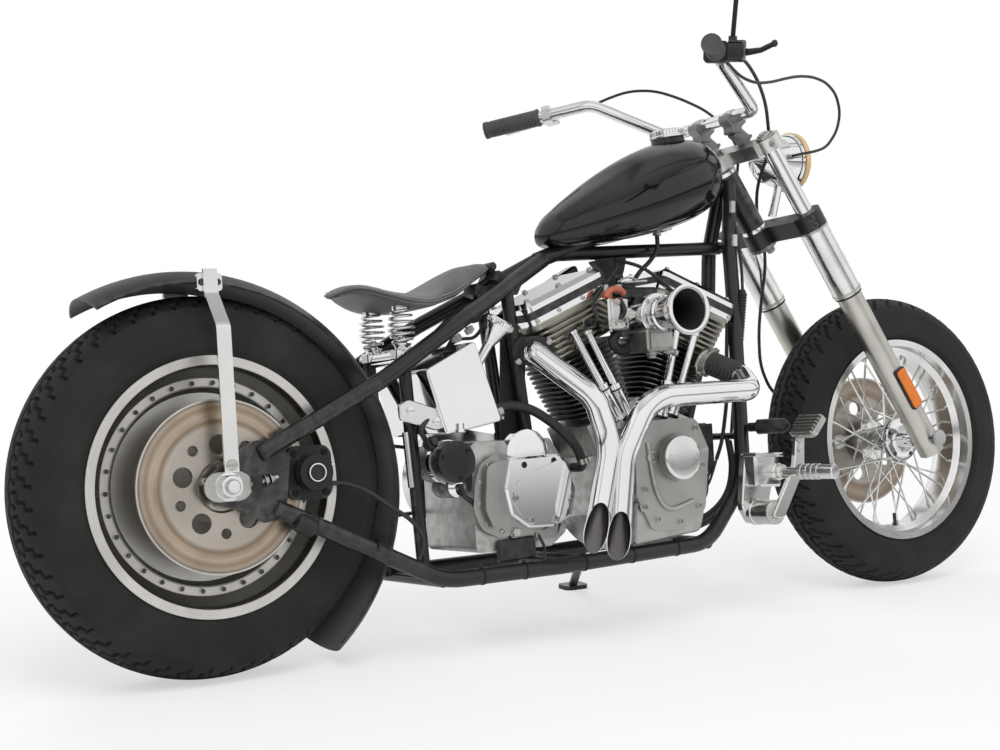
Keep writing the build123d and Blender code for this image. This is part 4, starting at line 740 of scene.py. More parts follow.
def make_rear_end():
    """Axle nut and adjuster, caliper trim, strut bolts and rail ties."""
    bright, dark, black = Form(), Form(), Form()
    for side in (-1, 1):
        out = (0, side, 0)
        at = spot((0, side * 128.4, HUB_Z), out)
        bright.prism(at, slot_outline(42, 24.5), 0, 5.2, 1.2)
        nut = spot((0, side * 134, HUB_Z), out)
        bright.prism(nut, hexagon(21.5), 0, 12, 2)
        bright.turned(nut, [(12, 18.5), (14, 17.5), (16, 13.5), (16.1, 11.8), (23, 11.6), (23.8, 10.6)], 32)
        # adjuster: threaded rod through a block, with its lock nuts
        start = (38, side * 134, HUB_Z + 1)
        rod = spot(start, (1, 0, 0.2), UP)
        bright.turned(rod, [(0, 4)] + [(3 + 1.5 * i, 4 if i % 2 else 4.6) for i in range(14)] + [(24, 4)], 16)
        bright.nut(spot((62, side * 134, HUB_Z + 5.8), (1, 0, 0.2)), 8.5, 7)
        bright.nut(spot((71, side * 134, HUB_Z + 7.6), (1, 0, 0.2)), 8.5, 7)
        bright.turned(spot((78, side * 134, HUB_Z + 9), (1, 0, 0.2)), [(0, 4), (8, 4), (9, 3)], 16)
        black.prism(spot((48, side * 128.2, HUB_Z + 3), out), rounded(9, 12, 3), 0, 11.5, 1.5)
        # strut's lower bolt and upper bolts
        bright.turned(spot((2, side * 146.4, 362), out), [(0, 9.5), (2, 9.5), (3.6, 7.5), (4.4, 3)], 24)
        for x in (-12, 16):
            dark.bolt(spot((x, side * 89.2, 668), out), 4.4)
        # plugs in the open ends of the frame's tubes
        black.turned(spot((62, side * 125, 378), (-0.85, 0, -0.4)),
                     [(0, 15.2), (2, 15.2), (5, 13), (6.5, 8)], 28)
    bright.make("rear_axle_trim", STEEL, "frame", "chrome")
    dark.make("fender_bolts", DARK_METAL, "frame", "satin_black")
    # caliper: bright ring round its piston cap, corner bolts and bleed screw
    ring = Form()
    ring.ring(spot((152, -149.1, 340)), [(0, 15.6), (1.1, 15.6), (1.1, 13.6), (0, 13.6)], 48)
    ring.turned(spot((192, -112, 352)), [(0, 4.6), (2, 4.6), (2, 3), (9, 3), (11, 2)], 14)
    ring.make("caliper_ring", CHROME, "frame", "chrome")
    for x, z in ((124, 374), (180, 374), (124, 306), (180, 306)):
        black.bolt(spot((x, -115.8, z)), 5.4)
    black.turned(spot((152, -131, 340)), [(0, 30.6), (4, 30.6), (6, 30)], 48)
    # rubber-booted switch under the lower rail's root
    black.turned(spot((112, -134, 262), (0.9, 0, -0.45)),
                 [(0, 8), (3, 15), (14, 17), (30, 17), (38, 14), (44, 6)], 28)
    black.turned(spot((150, -134, 243), (0.9, 0, -0.45)), [(0, 6), (10, 5.4), (18, 3.4)], 20)
    # cable ties round the lower rail
    for x in (470, 560, 690, 800, 905):
        z = 132 + max(0.0, (x - 640)) * 12 / 345 + min(246, max(0.0, x - 394)) * 2 / 246
        black.ring(spot((x, -125, z), (1, 0, 0.02)), [(-2, 15.1), (2, 15.1), (2, 16.3), (-2, 16.3)], 28)
        black.prism(spot((x, -125, z + 15.6), UP, AHEAD), rounded(3, 3.5, 1), 0, 3.4, 0.6)
    for x, z in ((150, 246), (262, 197)):
        black.ring(spot((x, -125, z + 5), (0.896, 0, -0.442)),
                   [(-2, 15.1), (2, 15.1), (2, 16.3), (-2, 16.3)], 28)
    black.make("rear_end_black_trim", SATIN_BLACK, "frame", "satin_black")


make_rear_end()


# ---------------------------------------------------------------- seat
SADDLE = [
    # place, half width, underside, rim and crown heights
    (261, 5, 648, 650, 654), (267, 30, 648, 653, 661), (280, 58, 651, 658, 669), (300, 80, 648, 655, 668),
    (320, 96, 640, 647, 662), (340, 106, 632, 640, 656), (370, 113, 625, 632, 650), (400, 114, 622, 629, 649),
    (425, 104, 624, 631, 654), (450, 81, 630, 637, 666), (475, 60, 637, 643, 680), (500, 46, 645, 651, 692),
    (525, 38, 659, 664, 702), (550, 33, 675, 680, 709), (572, 27, 688, 693, 712), (586, 16, 697, 700, 710),
    (592, 4, 702, 703, 706),
]
ROWS, HALF = 60, 16


def saddle_sections():
    """Smooth stations along the saddle."""
    return through([row[0] for row in SADDLE], [row[1:] for row in SADDLE], ROWS)


def saddle_rim(side, lift=0.0, inset=0.0):
    """The rim's line on one side, from tail to nose."""
    places, rows = saddle_sections()
    return [(x, side * (w - inset), edge + lift) for x, (w, _, edge, _) in zip(places, rows)]


def make_seat():
    """A sprung solo saddle: crowned top, belly below, piped rim and two rows of stitching."""
    places, rows = saddle_sections()
    points = []
    for x, (w, low, edge, top) in zip(places, rows):
        for i in range(2 * HALF):
            turn = pi * i / HALF
            y = w * cos(turn)
            z = edge + (top - edge) * abs(sin(turn)) ** 0.9 if i < HALF else edge - (edge
                - low) * abs(sin(turn)) ** 0.5
            points.append((x, y, z))
    form = Form()
    form.grid(points, ROWS, 2 * HALF)
    seat = form.make("saddle", LEATHER, "frame", "leather", 80.0)
    puff(seat, 0.0045, 4.0, 20, 0.0025)
    smooth = seat.modifiers.new("smooth", "SUBSURF")
    smooth.levels = smooth.render_levels = 1
    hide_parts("seat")
    piping = Form()
    left, right = saddle_rim(1), saddle_rim(-1)
    piping.swept(left[1:-1] + right[-2:0:-1], 2.2, 8, BIKE, True)
    piping.make("saddle_piping", LEATHER, "frame", "leather")
    thread = Form()
    for side in (-1, 1):
        for lift, inset in ((5.0, 3.2), (-4.6, 7.0)):
            line = np.array(saddle_rim(side, lift, inset))
            length = np.concatenate([[0], np.cumsum(np.linalg.norm(np.diff(line, axis=0), axis=1))])
            for start in np.arange(30, length[-1] - 24, 6.5):
                ends = [[np.interp(d, length, line[:, k]) for k in range(3)] for d in (start, start + 4.2)]
                thread.swept(ends, 0.8, 6)
    thread.make("saddle_stitching", THREAD, "frame", "leather")


def puff(piece, voxel, pressure, frames, cap):
    """Inflate a closed form a little as cloth, each point kept within cap of where it began."""
    scene = bpy.context.scene
    remesh = piece.modifiers.new("remesh", "REMESH")
    remesh.mode = "VOXEL"
    remesh.voxel_size = voxel
    remesh.use_smooth_shade = True
    bpy.context.view_layer.update()
    shape = bpy.data.meshes.new_from_object(piece.evaluated_get(bpy.context.evaluated_depsgraph_get()))
    piece.modifiers.clear()
    piece.data = shape
    start = np.empty(len(shape.vertices) * 3)
    shape.vertices.foreach_get("co", start)
    cloth = piece.modifiers.new("cloth", "CLOTH")
    cloth.settings.use_pressure = True
    cloth.settings.uniform_pressure_force = pressure
    cloth.settings.effector_weights.gravity = 0.0
    for step in range(1, frames + 1):
        scene.frame_set(step)
    swollen = bpy.data.meshes.new_from_object(piece.evaluated_get(bpy.context.evaluated_depsgraph_get()))
    moved = np.empty(len(swollen.vertices) * 3)
    swollen.vertices.foreach_get("co", moved)
    piece.modifiers.clear()
    scene.frame_set(1)
    shift = (moved - start).reshape(-1, 3)
    far = np.maximum(np.linalg.norm(shift, axis=1), 1e-9)
    shift *= np.minimum(1.0, cap / far)[:, None]
    shape.vertices.foreach_set("co", start + shift.ravel())
    shape.update()


make_seat()


def make_springs():
    """Barrel coil springs under the saddle, with their cups and posts."""
    coils, cups = Form(), Form()
    turns, low, high = 6.2, 556.0, 622.0
    for y in (-60, 60):
        path = []
        for i in range(241):
            t = i / 240
            radius = 12.5 + 10.0 * sin(pi * (0.08 + 0.88 * t)) ** 0.8
            turn = 2 * pi * turns * t
            path.append((371 + radius * cos(turn), y + radius * sin(turn), low + (high - low) * t))
        coils.swept(path, 2.3, 10)
        post = spot((371, y, 547.5), UP)
        cups.turned(post, [(0, 13), (3, 14.5), (6, 14.5), (8, 17), (10, 17), (11, 9), (24, 7)], 28)
        cups.turned(spot((371, y, 616), UP), [(0, 8), (2, 15), (5, 16), (10, 16)], 28)
    springs = coils.make("coil_springs", CHROME, "frame", "spring_steel")
    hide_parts("seat_springs")
    cups.make("spring_cups", CHROME, "frame", "spring_steel")


make_springs()


def make_seat_mounts():
    """Chrome sleeve on the cross tube, nose bracket, and the wiring gathered behind the tank."""
    chrome, black, pale = Form(), Form(), Form()
    chrome.turned(spot((371, -92, 535), LEFT, UP), [(0, 12.6), (0.5, 14.6), (183.5, 14.6), (184, 12.6)], 40)
    for y in (-60, 60):
        chrome.prism(spot((371, y, 535), UP), rounded(19, 15, 4), -4, 13, 2)
    chrome.make("spring_cross_tube", CHROME, "frame", "chrome")
    black.cord([(566, 0, 664), (590, 0, 676), (600, 0, 694)], 12, 7, 12)
    black.prism(spot((599, 0, 686), (1, 0, 0.2), LEFT), rounded(17, 24, 5), -2, 5, 1.5)
    black.turned(spot((594, -24, 703), LEFT), [(0, 6), (2, 8), (46, 8), (48, 6)], 20)
    black.prism(spot((566, 0, 655), (0.3, 0, 1)), rounded(16, 24, 4), -9, 12, 2)
    black.prism(spot((622, 0, 676), (0.55, 0, 1)), rounded(30, 34, 6), -16, 6, 3)
    for k, (rise, y) in enumerate(((10, -20), (2, -6), (16, 8), (-6, 20))):
        black.cord([(470, y, 560 + rise), (520, y * 1.3, 600 + rise), (560, y, 622 + rise),
                          (610, y * 0.6, 650 + rise), (660, y * 0.5, 668 + rise)], 30, 4.0 + k % 2, 8)
    black.cord([(470, -40, 545), (500, -52, 590), (540, -50, 600), (560, -40, 640), (600, -30, 655)], 30, 3,
               8)
    black.cord([(452, -30, 520), (486, -52, 560), (520, -62, 566), (548, -58, 592)], 30, 3.4, 8)
    black.make("seat_bracket_and_wiring", SATIN_BLACK, "frame", "satin_black")
    for x, z in ((505, 575), (478, 560), (540, 612)):
        pale.prism(spot((x, -60, z), (0.75, 0, 0.5), UP), rounded(5.5, 4.5, 1.5), 0, 17, 1)
        pale.prism(spot((x, -60, z), (0.75, 0, 0.5), UP), rounded(7, 6, 1.5), 6, 10, 0.8)
    pale.make("pale_connectors", WHITE, "frame", "black_rubber")


make_seat_mounts()


# ---------------------------------------------------------------- fuel tank
TANK = [
    # place, bottom, waist and top heights, half width of the bottom's flat and of the waist
    (716, 758, 764, 771, 2, 5), (719, 751, 765, 781, 6, 19), (730, 746, 768, 797, 14, 37),
    (760, 742, 776, 822, 26, 62),
    (810, 745, 790, 857, 40, 92), (870, 752, 808, 895, 48, 112), (950, 767, 834, 936, 52, 125),
    (1020, 786, 860, 960, 50, 124), (1075, 806, 880, 968, 42, 110), (1110, 824, 890, 963, 30, 88),
    (1132, 842, 894, 950, 18, 60), (1142, 858, 896, 935, 9, 33), (1146, 880, 897, 914, 3, 7),
]


def make_tank():
    """A smooth teardrop tank over its own stations, with its seam, filler neck and tap."""
    places, rows = through([row[0] for row in TANK], [row[1:] for row in TANK], 90)
    columns = 72
    points = []
    for x, (low, mid, top, flat, wide) in zip(places, rows):
        for i in range(columns):
            turn = 2 * pi * i / columns
            over, side = abs(sin(turn)), cos(turn)
            if turn < pi:
                points.append((x, wide * abs(side) ** 1.06 * (1 if side > 0 else -1),
                               mid + (top - mid) * over ** 1.06))
            else:
                half = flat + (wide - flat) * abs(side) ** 0.8 if abs(side) > 0.06 else flat * abs(side) / 0.06
                points.append((x, half * (1 if side > 0 else -1), mid - (mid - low) * over ** 1.1))
    form = Form()
    form.grid(points, len(places), columns)
    tank = form.make("tank_shell", GLOSS_BLACK, "frame", "black_paint", 60.0)
    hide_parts("fuel_tank")
    seam = Form()
    for hand in (-1, 1):
        seam.swept([(x, hand * (flat + 5), low + 1.5) for x,
                    (low, _, _, flat, _) in list(zip(places, rows))[6:-3]], 2.6, 8)
    seam.make("tank_seam", GLOSS_BLACK, "frame", "black_paint")
    neck = Form()
    neck.turned(spot((1047, 0, 950), (-0.1, 0, 1)), [(0, 37), (8, 37), (12, 35), (21.5, 34)], 64)
    neck.make("filler_neck", GLOSS_BLACK, "frame", "black_paint")
    tap = Form()
    tap.turned(spot((980, -30, 764), UP), [(0, 6), (1, 9), (9, 9), (9.5, 12), (16, 12), (17, 9), (30, 9)], 24)
    tap.turned(spot((980, -36, 776)), [(0, 5.5), (12, 5.5), (13, 8), (22, 8), (23, 7)], 20)
    tap.prism(spot((980, -58, 776)), slot_outline(16, 4.5), 0, 4, 1)
    tap.make("petcock", STEEL, "frame", "chrome")
    trim = Form()
    trim.ring(spot((1047, 0, 971.5), (-0.1, 0, 1)), [(0, 35.8), (0, 37.6), (3, 37.6), (4, 36.8), (5, 36.4)],
              64)
    for i in range(36):
        turn = 2 * pi * i / 36
        place = (1047 + 36.1 * cos(turn) - 0.6, 36.1 * sin(turn), 978 + 3.6 * cos(turn))
        trim.turned(spot(place, (-0.1, 0, 1)), [(0, 0.9), (6, 0.9)], 8)
    trim.turned(spot((1045.6, 0, 988), (-0.1, 0, 1)), [(-0.5, 33), (1.0, 31), (1.8, 22), (2.1, 4)], 64)
    trim.make("filler_cap_trim", CHROME, "frame", "chrome")


make_tank()


# ---------------------------------------------------------------- engine
def make_engine():
    """Rocker bands and bolts, plugs and leads, pushrod collars, cam cover cap and case bolts."""
    bands, bolts, collars, plugs, leads, finish = Form(), Form(), Form(), Form(), Form(), Form()
    for turn in (V_HALF, -V_HALF):
        bands.prism(bank(turn, BAND_D - 3.5), rounded(97.6, 79.6, 14.6), 0, 15)
        for x in (-80, 0, 80):
            for y in (-62, 62):
                bolts.bolt(bank(turn, BOX_TOP) @ Matrix.Translation((x, y, 0)), 5)
        for x in (-84, -30, 30, 84):
            place = bank(turn, BOX_D + 6.5) @ Matrix.Translation((x, -79.2, 0))
            bolts.turned(place @ Matrix.Rotation(pi / 2, 4, "X"), [(0, 4.6), (1.6, 4.6), (2.2, 3.4)], 16)
        # plug on the right of each head
        seat_at = bank(turn, 352.0) @ Matrix.Translation((16 if turn > 0 else -16, -75,
            0)) @ Matrix.Rotation(pi / 2, 4, "X")
        plugs.prism(seat_at, hexagon(9), 0, 7, 1)
        leads.turned(seat_at, [(7, 8), (24, 8.5), (28, 6), (30, 5)], 20)
        start = BIKE.inverted() @ (seat_at @ Vector((0, 0, 28)))
        out = CRANK_X + (-96 if turn > 0 else 92)
        leads.cord([tuple(start), (start.x, start.y - 14, start.z + 6),
                    (start.x * 0.5 + out * 0.5, -92, start.z + 40),
                          (out * 0.4 + 881 * 0.6, -70, 690), (872, -30, 716)], 40, 3.6, 10)
    bands.make("rocker_bands", SATIN_BLACK, "frame", "satin_black")
    bolts.make("rocker_bolts", STEEL, "frame", "chrome")
    plugs.make("spark_plugs", STEEL, "frame", "chrome")
    leads.make("plug_leads", BLACK_RUBBER, "frame", "black_rubber")
    for x0, y0, z0, x1, y1, z1 in (
        (812, -96, 398, 722, -86, 572), (838, -96, 398, 756, -86, 572),
        (912, -96, 397, 972, -86, 572), (938, -96, 398, 1016, -86, 560),
    ):
        foot, top = Vector((x0, y0, z0)), Vector((x1, y1, z1))
        run = top - foot
        for t, r, h in ((0.0, 14, 7), (0.31, 12.6, 6), (0.335, 11.8, 12), (0.965, 11, 7)):
            collars.turned(spot(foot + run * t, run), [(0, r - 1), (1, r), (h - 1, r), (h, r - 1)], 24)
        finish.ring(spot(foot + run * 0.325, run), [(0, 8), (3, 8), (3, 12.9), (0, 12.9)], 24)
    collars.make("pushrod_collars", CHROME, "frame", "chrome")
    finish.make("pushrod_seals", BLACK_RUBBER, "frame", "black_rubber")
    # cap over the cam cover's disc, and the screws round the cover
    cap = Form()
    at = spot((CAM[0], -166.9, CAM[1]))
    cap.turned(at, [(-1, 42.5), (2, 42.5), (3.5, 41), (4.2, 36), (4.8, 20), (5, 4)], 72)
    cap.make("cam_cap", POLISHED, "frame", "polished_alloy")
    cap = Form()
    for x in (CAM[0] - 31, CAM[0] + 31):
        cap.turned(spot((x, -170.6, CAM[1] + 2)), [(0, 5), (1.2, 5), (1.4, 4.4), (0.6, 3.6), (0.6, 0.5)], 20)
    for x, z in ((826, 262), (823, 229), (852, 203), (905, 195), (952, 222), (966, 300), (955, 372),
                 (830, 372)):
        cap.bolt(spot((x, -146.2, z)), 5.2)
        cap.turned(spot((x, -146.0, z)), [(-1, 10), (0.1, 10), (0.3, 9)], 24)
    cap.make("cam_cover_screws", STEEL, "frame", "chrome")
    # raised rib and boss of the cam cover, as cast
    rib = Form()
    rib.cord([(838, -147, 350), (850, -148, 262), (880, -148, 222), (938, -148, 232)], 30, 5, 10)
    rib.turned(spot((846, -146, 322)), [(0, 12), (4, 12), (5, 10.5), (5.4, 8), (2, 6.5), (2, 0.5)], 32)
    rib.prism(spot((0, -113, 0)), softened([(800, 158), (958, 172), (972, 214), (806, 240)], 12), 0, 28, 3)
    rib.make("cam_cover_ribs", CAST, "frame", "raw_alloy")


make_engine()


def make_intake():
    """Carburettor top, linkage, manifold block and fitting, bowl trim, horn lining."""
    alloy, dark, black, orange, brass = Form(), Form(), Form(), Form(), Form()
    x, z = CARB
    # round chamber's face with its rim and screws
    at = spot((x, -142, z))
    alloy.turned(at, [(-0.4, 40.8), (3, 40.8), (4.5, 39), (5.2, 33), (8, 31.6), (9, 31.6)], 64)
    for px, pz in polar(x, z, 35.6, 4, 45):
        alloy.bolt(spot((px, -146.8, pz)), 3.4)
    # square block beside it, ribbed, with a bright elbow below
    alloy.prism(spot((812, -84, 600)), rounded(24, 31, 6), 0, 34, 3)
    alloy.prism(spot((812, -117, 604)), rounded(17, 20, 4), 0, 4, 1.5)
    alloy.bolt(spot((800, -118, 580)), 3.6)
    alloy.bolt(spot((824, -118, 580)), 3.6)
    alloy.turned(spot((838, -98, 600), AHEAD), [(-4, 17), (10, 17), (12, 15), (24, 15)], 32)
    alloy.make("intake_alloy", POLISHED, "frame", "polished_alloy")
    dark.prism(spot((x - 4, -91, 546)), rounded(31, 22, 7), -2, 62, 3)
    dark.prism(spot((x - 4, -154, 545)), rounded(24, 15, 5), 0, 3, 1)
    for px in (-24, 24):
        for pz in (-16, 16):
            dark.bolt(spot((x - 4 + px, -152.6, 546 + pz)), 3)
    dark.turned(spot((x - 4, -122, 524), DOWN), [(0, 10), (6, 10), (7, 8), (12, 8), (13, 4)], 24)
    dark.turned(spot((x + 26, -118, 530), (1, 0, -0.3)),
                [(0, 8), (14, 8), (16, 5), (26, 5), (27, 7), (34, 7)], 20)
    dark.make("float_bowl", CAST, "frame", "raw_alloy")
    black.prism(spot((884, -60, 634), UP), rounded(44, 33, 8), 0, 20, 4)
    black.prism(spot((862, -62, 654), UP), rounded(20, 22, 6), 0, 8, 2)
    black.turned(spot((842, -78, 648), UP), [(0, 6), (24, 6), (25, 11), (31, 11), (32, 9)], 20)
    black.cord([(820, -98, 566), (806, -100, 548), (820, -98, 532), (846, -94, 536)], 24, 10, 14)
    black.turned(spot((832, -98, 566), (0.2, 0, 1)), [(-8, 13), (6, 13), (7, 11)], 24)
    black.cord([(815, -120, 628), (820, -126, 606), (812, -122, 590)], 14, 4, 8)
    black.make("intake_linkage", SATIN_BLACK, "frame", "satin_black")
    alloy = Form()
    alloy.swept([(838, -104, 662), (892, -104, 665)], 2.2, 8)
    alloy.turned(spot((800, -96, 636), UP), [(0, 8), (8, 8), (9, 6), (22, 5)], 18)
    alloy.turned(spot((828, -96, 640), UP), [(0, 6), (12, 6), (13, 8), (18, 8)], 18)
    alloy.cord([(829, -96, 664), (850, -98, 672), (878, -92, 668)], 16, 2, 8)
    alloy.make("linkage_rods", STEEL, "frame", "chrome")
    orange.cord([(790, -108, 634), (800, -112, 646), (818, -112, 648), (832, -108, 640)], 20, 6.5, 14)
    orange.turned(spot((796, -104, 632), UP), [(0, 10), (6, 10), (7, 8), (14, 8)], 20)
    orange.make("fuel_fitting", ORANGE, "frame", "black_rubber")
    brass.turned(spot((806, -119, 622)), [(0, 7), (3, 7), (4, 5), (7, 5), (7.5, 3)], 20)
    brass.make("manifold_plug", STEEL, "frame", "chrome")
    # black lining of the horn, and its bright rolled rim
    lining = Form()
    lining.turned(spot((x, -160.6, z)), [(0, 2), (0.2, 24.4), (16, 24.6), (48, 29.4), (67, 34.2),
                                         (78, 38.6)], 64, False)
    lining.make("horn_lining", BLACK_RUBBER, "frame", "satin_black")
    rim = Form()
    rim.ring(spot((x, -242, z)), [(0, 39.8), (0, 48), (1.4, 48), (2.0, 46), (2.0, 42), (1.4, 39.4)], 96)
    rim.ring(spot((x, -161, z)), [(0, 30), (5, 34), (9, 34), (12, 30.4)], 64)
    rim.make("horn_rim", CHROME, "frame", "chrome")


make_intake()


REAR_PIPE = [(640, -76, 536), (620, -110, 530), (690, -196, 440), (712, -204, 350), (652, -210, 150)]
FRONT_PIPE = [
    (1040, -80, 505), (1076, -150, 470), (1050, -206, 440), (800, -212, 436), (734, -214, 330),
    (704, -214, 130),
]
PIPE_R, PIPE_SIDES = 22.0, 48
TIP_R, TIP_LENGTH, TIP_WALL, TIP_ROWS = 25.0, 70.0, 1.8, 14
TIP_ROOT = 45              # how far above the flare the tip's own skin begins
BORE_DEPTH = 65
# the slanted cut: its middle's distance from the end, the side it faces, and how far it leans
SLASH_BACK, SLASH_OUT, SLASH_LEAN = 56.0, (-0.5, -0.86, 0), (0.49, 0.872)


def pipe_run(route, radii):
    """The middle line of a pipe bent to a radius at each corner, down to the start of its tip."""
    corners = [Vector(point) for point in route]
    run = [corners[0]]
    for before, corner, after, radius in zip(corners, corners[1:], corners[2:], radii):
        a, b = (before - corner).normalized(), (after - corner).normalized()
        half = a.angle(b) / 2
        middle = corner + (a + b).normalized() * radius / sin(half)
        start, end = corner + a * radius / tan(half) - middle, corner + b * radius / tan(half) - middle
        turn = start.angle(end)
        for k in range(13):
            run.append(middle + (start * sin(turn * (1 - k / 12)) + end * sin(turn * k / 12)) / sin(turn))
    return run


def make_exhaust():
    """Slash-cut pipes with dark bores, port flanges, the panel behind them and the wrapped first bend."""
    sleeve, bright, dark, pipes, bores = Form(), Form(), Form(), Form(), Form()
    for route, radii in ((REAR_PIPE, (16, 60, 120)), (FRONT_PIPE, (45, 30, 90, 90))):
        end, before = Vector(route[-1]), Vector(route[-2])
        down = (end - before).normalized()
        run = pipe_run(route, radii) + [end - down * (TIP_LENGTH + TIP_ROOT - 2)]
        pipes.swept(run, PIPE_R, PIPE_SIDES)
        side = down.orthogonal().normalized()
        other = down.cross(side)
        outward = Vector(SLASH_OUT) - down * down.dot(Vector(SLASH_OUT))
        slash = down * SLASH_LEAN[0] + outward.normalized() * SLASH_LEAN[1]
        outer, inner = [], []
        for row in range(TIP_ROWS + 1):
            for k in range(PIPE_SIDES):
                turn = 2 * pi * k / PIPE_SIDES
                out = side * cos(turn) + other * sin(turn)
                # each line down the tip ends where the slash crosses it
                reach = TIP_LENGTH - SLASH_BACK - slash.dot(out) * TIP_R / slash.dot(down)
                along = -TIP_ROOT + (reach + TIP_ROOT) * row / TIP_ROWS
                flare = min(1, max(0, along / TIP_LENGTH))
                radius = PIPE_R + 0.15 + (TIP_R - PIPE_R) * flare * flare * (3 - 2 * flare)
                place = end - down * (TIP_LENGTH - along)
                outer.append(place + out * radius)
                inner.append(place + out * (radius - TIP_WALL))
        inward = [
            p for row in range(TIP_ROWS, -1, -1) for p in inner[PIPE_SIDES * row:PIPE_SIDES * (row + 1)]
        ]
        pipes.grid([tuple(p) for p in outer + inward], 2 * TIP_ROWS + 2, PIPE_SIDES, BIKE, True, False)
        lining = [p - (p - end - down * (p - end).dot(down)).normalized() * 0.35 for p in inner]
        deep = [p - down * BORE_DEPTH for p in lining[:PIPE_SIDES]]
        bores.grid([tuple(p) for p in deep + lining], TIP_ROWS + 2, PIPE_SIDES, BIKE, True, False)
        bores.add([tuple(p) for p in deep], [range(PIPE_SIDES)])
    pair = pipes.make("slash_cut_pipes", CHROME, "frame", "chrome")
    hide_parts("exhaust_pipes")
    bores.make("pipe_bores", PIPE_BORE, "frame", "satin_black")
    sleeve.cord([(1046, -91, 500), (1056, -110, 490), (1068, -133, 478), (1074, -146, 472)], 24, 24.4, 32)
    for port, out in (((1040, -80, 505), (36, -70, -35)), ((640, -76, 536), (-20, -34, -6))):
        at = spot(port, out)
        collar = bright if port[0] > 1000 else dark
        collar.turned(at, [(-0.4, 26), (0, 27), (10, 27.5), (12, 29.5), (15, 29.5), (17, 26)], 40)
        for turn in (0.6, 0.6 + pi):
            bright.nut(at @ Matrix.Translation((33 * cos(turn), 33 * sin(turn), 6)), 6, 8)
        collar.prism(at, slot_outline(42, 27.2), 2, 7, 1.5)
    dark.prism(plate(-34), softened([(578, 372), (586, 485), (592, 566), (640, 574), (646, 540), (640, 492),
                                     (632, 440),
                                     (640, 372)], 6), 0, 4, 1)
    dark.make("engine_side_panel", SATIN_BLACK, "frame", "satin_black")
    sleeve.make("pipe_sleeve", WRAP, "frame", "black_rubber")
    bright.make("port_flanges", STEEL, "frame", "chrome")


make_exhaust()


# ---------------------------------------------------------------- gearbox, starter and oil tank
def make_gearbox():
    """Screws, plugs and raised shield of the gearbox's cover, and its trapdoor."""
    steel, alloy, chrome, holes = Form(), Form(), Form(), Form()
    for x, z in ((536, 268), (566, 226), (616, 226), (654, 262)):
        steel.turned(spot((x, -149.6, z)), [(-0.5, 9), (0.4, 9), (0.6, 8)], 24)
        steel.bolt(spot((x, -149.8, z)), 4.8)
    shield = softened([(532, 284), (548, 300), (640, 332), (654, 300), (650, 244), (612, 222), (566, 222),
                       (538, 246)], 14)
    chrome.prism(plate(-149.6), shield, 0, 2.6, 2.2)
    chrome.turned(spot((576, -134, 346)), [(0, 44.4), (2, 44.4), (4, 42), (4.6, 30)], 64)
    chrome.make("gearbox_cover_shield", CHROME, "frame", "chrome")
    for x, z in ((558, 326), (622, 330)):
        holes.turned(spot((x, -149.7, z)), [(-3, 6.0), (0.2, 6.0), (0.2, 5.2), (-3, 5.0), (-3.1, 0.3)], 28)
    holes.make("cover_plugs", BLACK_RUBBER, "frame", "satin_black")
    door = softened([(472, 296), (484, 330), (512, 346), (548, 344), (566, 210), (520, 198), (482, 214),
                     (466, 250)], 10)
    alloy.prism(plate(-112.2), door, 0, 9, 2.5)
    alloy.prism(plate(-121), softened([(494, 326), (522, 334), (530, 300), (528, 226), (500, 218),
                                       (486, 252)], 10), 0, 12, 4)
    alloy.prism(plate(-112.2), softened([(540, 214), (612, 200), (660, 222), (662, 300), (640, 190),
                                         (560, 184)], 4), 0, 5, 2)
    alloy.make("trapdoor", CAST, "frame", "raw_alloy")
    for x, z in ((480, 300), (476, 262), (490, 224), (520, 208), (500, 330), (545, 206), (596, 194),
                 (652, 214)):
        steel.turned(spot((x, -121, z)), [(0, 4.6), (2.4, 4.6), (3.2, 3.6), (1.4, 3), (1.4, 0.4)], 16)
    steel.nut(spot((548, -118, 204)), 9, 12)
    steel.make("gearbox_screws", STEEL, "frame", "chrome")


make_gearbox()


def make_starter():
    """The starter's black cap, bright band and terminals, and the alloy bracket above it."""
    bright, dark = Form(), Form()
    bright.ring(spot((431.6, -84, 340)), [(0, 38.3), (0, 40), (12, 40), (12, 38.3)], 64)
    dark.turned(spot((431.6, -124, 340)), [(0, 37.6), (5, 37.6), (7.2, 35.4), (7.6, 12), (7.8, 4)], 56)
    for turn in (0.7, 2.8, 4.9):
        dark.bolt(spot((431.6 + 29 * cos(turn), -131.3, 340 + 29 * sin(turn))), 3.4)
    bright.turned(spot((444, -99, 294)), [(0, 19), (3, 19), (6, 14), (7, 3)], 40)
    bright.make("starter_trim", CHROME, "frame", "chrome")
    dark.turned(spot((444, -104, 294)), [(0, 6), (10, 6), (11, 4)], 20)
    dark.cord([(444, -112, 294), (450, -118, 276), (470, -112, 262), (478, -104, 240)], 20, 5, 10)
    dark.turned(spot((390, -100, 372), (0.2, -1, 0.4)), [(0, 12), (14, 12), (16, 8), (22, 8)], 24)
    dark.cord([(384, -104, 380), (372, -112, 402), (398, -104, 424), (430, -90, 432)], 24, 5, 10)
    dark.turned(spot((362, -96, 430), RIGHT), [(0, 9), (8, 9), (12, 6)], 20)
    dark.make("starter_terminals", SATIN_BLACK, "frame", "satin_black")
    bracket = Form()
    bracket.prism(plate(-106), softened([(332, 420), (402, 398), (426, 402), (420, 432), (350, 456),
                                         (330, 446)], 6), 0, 6, 1.5)
    bracket.turned(spot((352, -112, 436)), [(0, 7), (4, 7), (5, 5)], 20)
    bracket.turned(spot((404, -112, 414)), [(0, 7), (4, 7), (5, 5)], 20)
    bracket.swept([(346, -100, 398), (352, -100, 300)], 6, 12)
    bracket.make("battery_bracket", POLISHED, "frame", "polished_alloy")


make_starter()


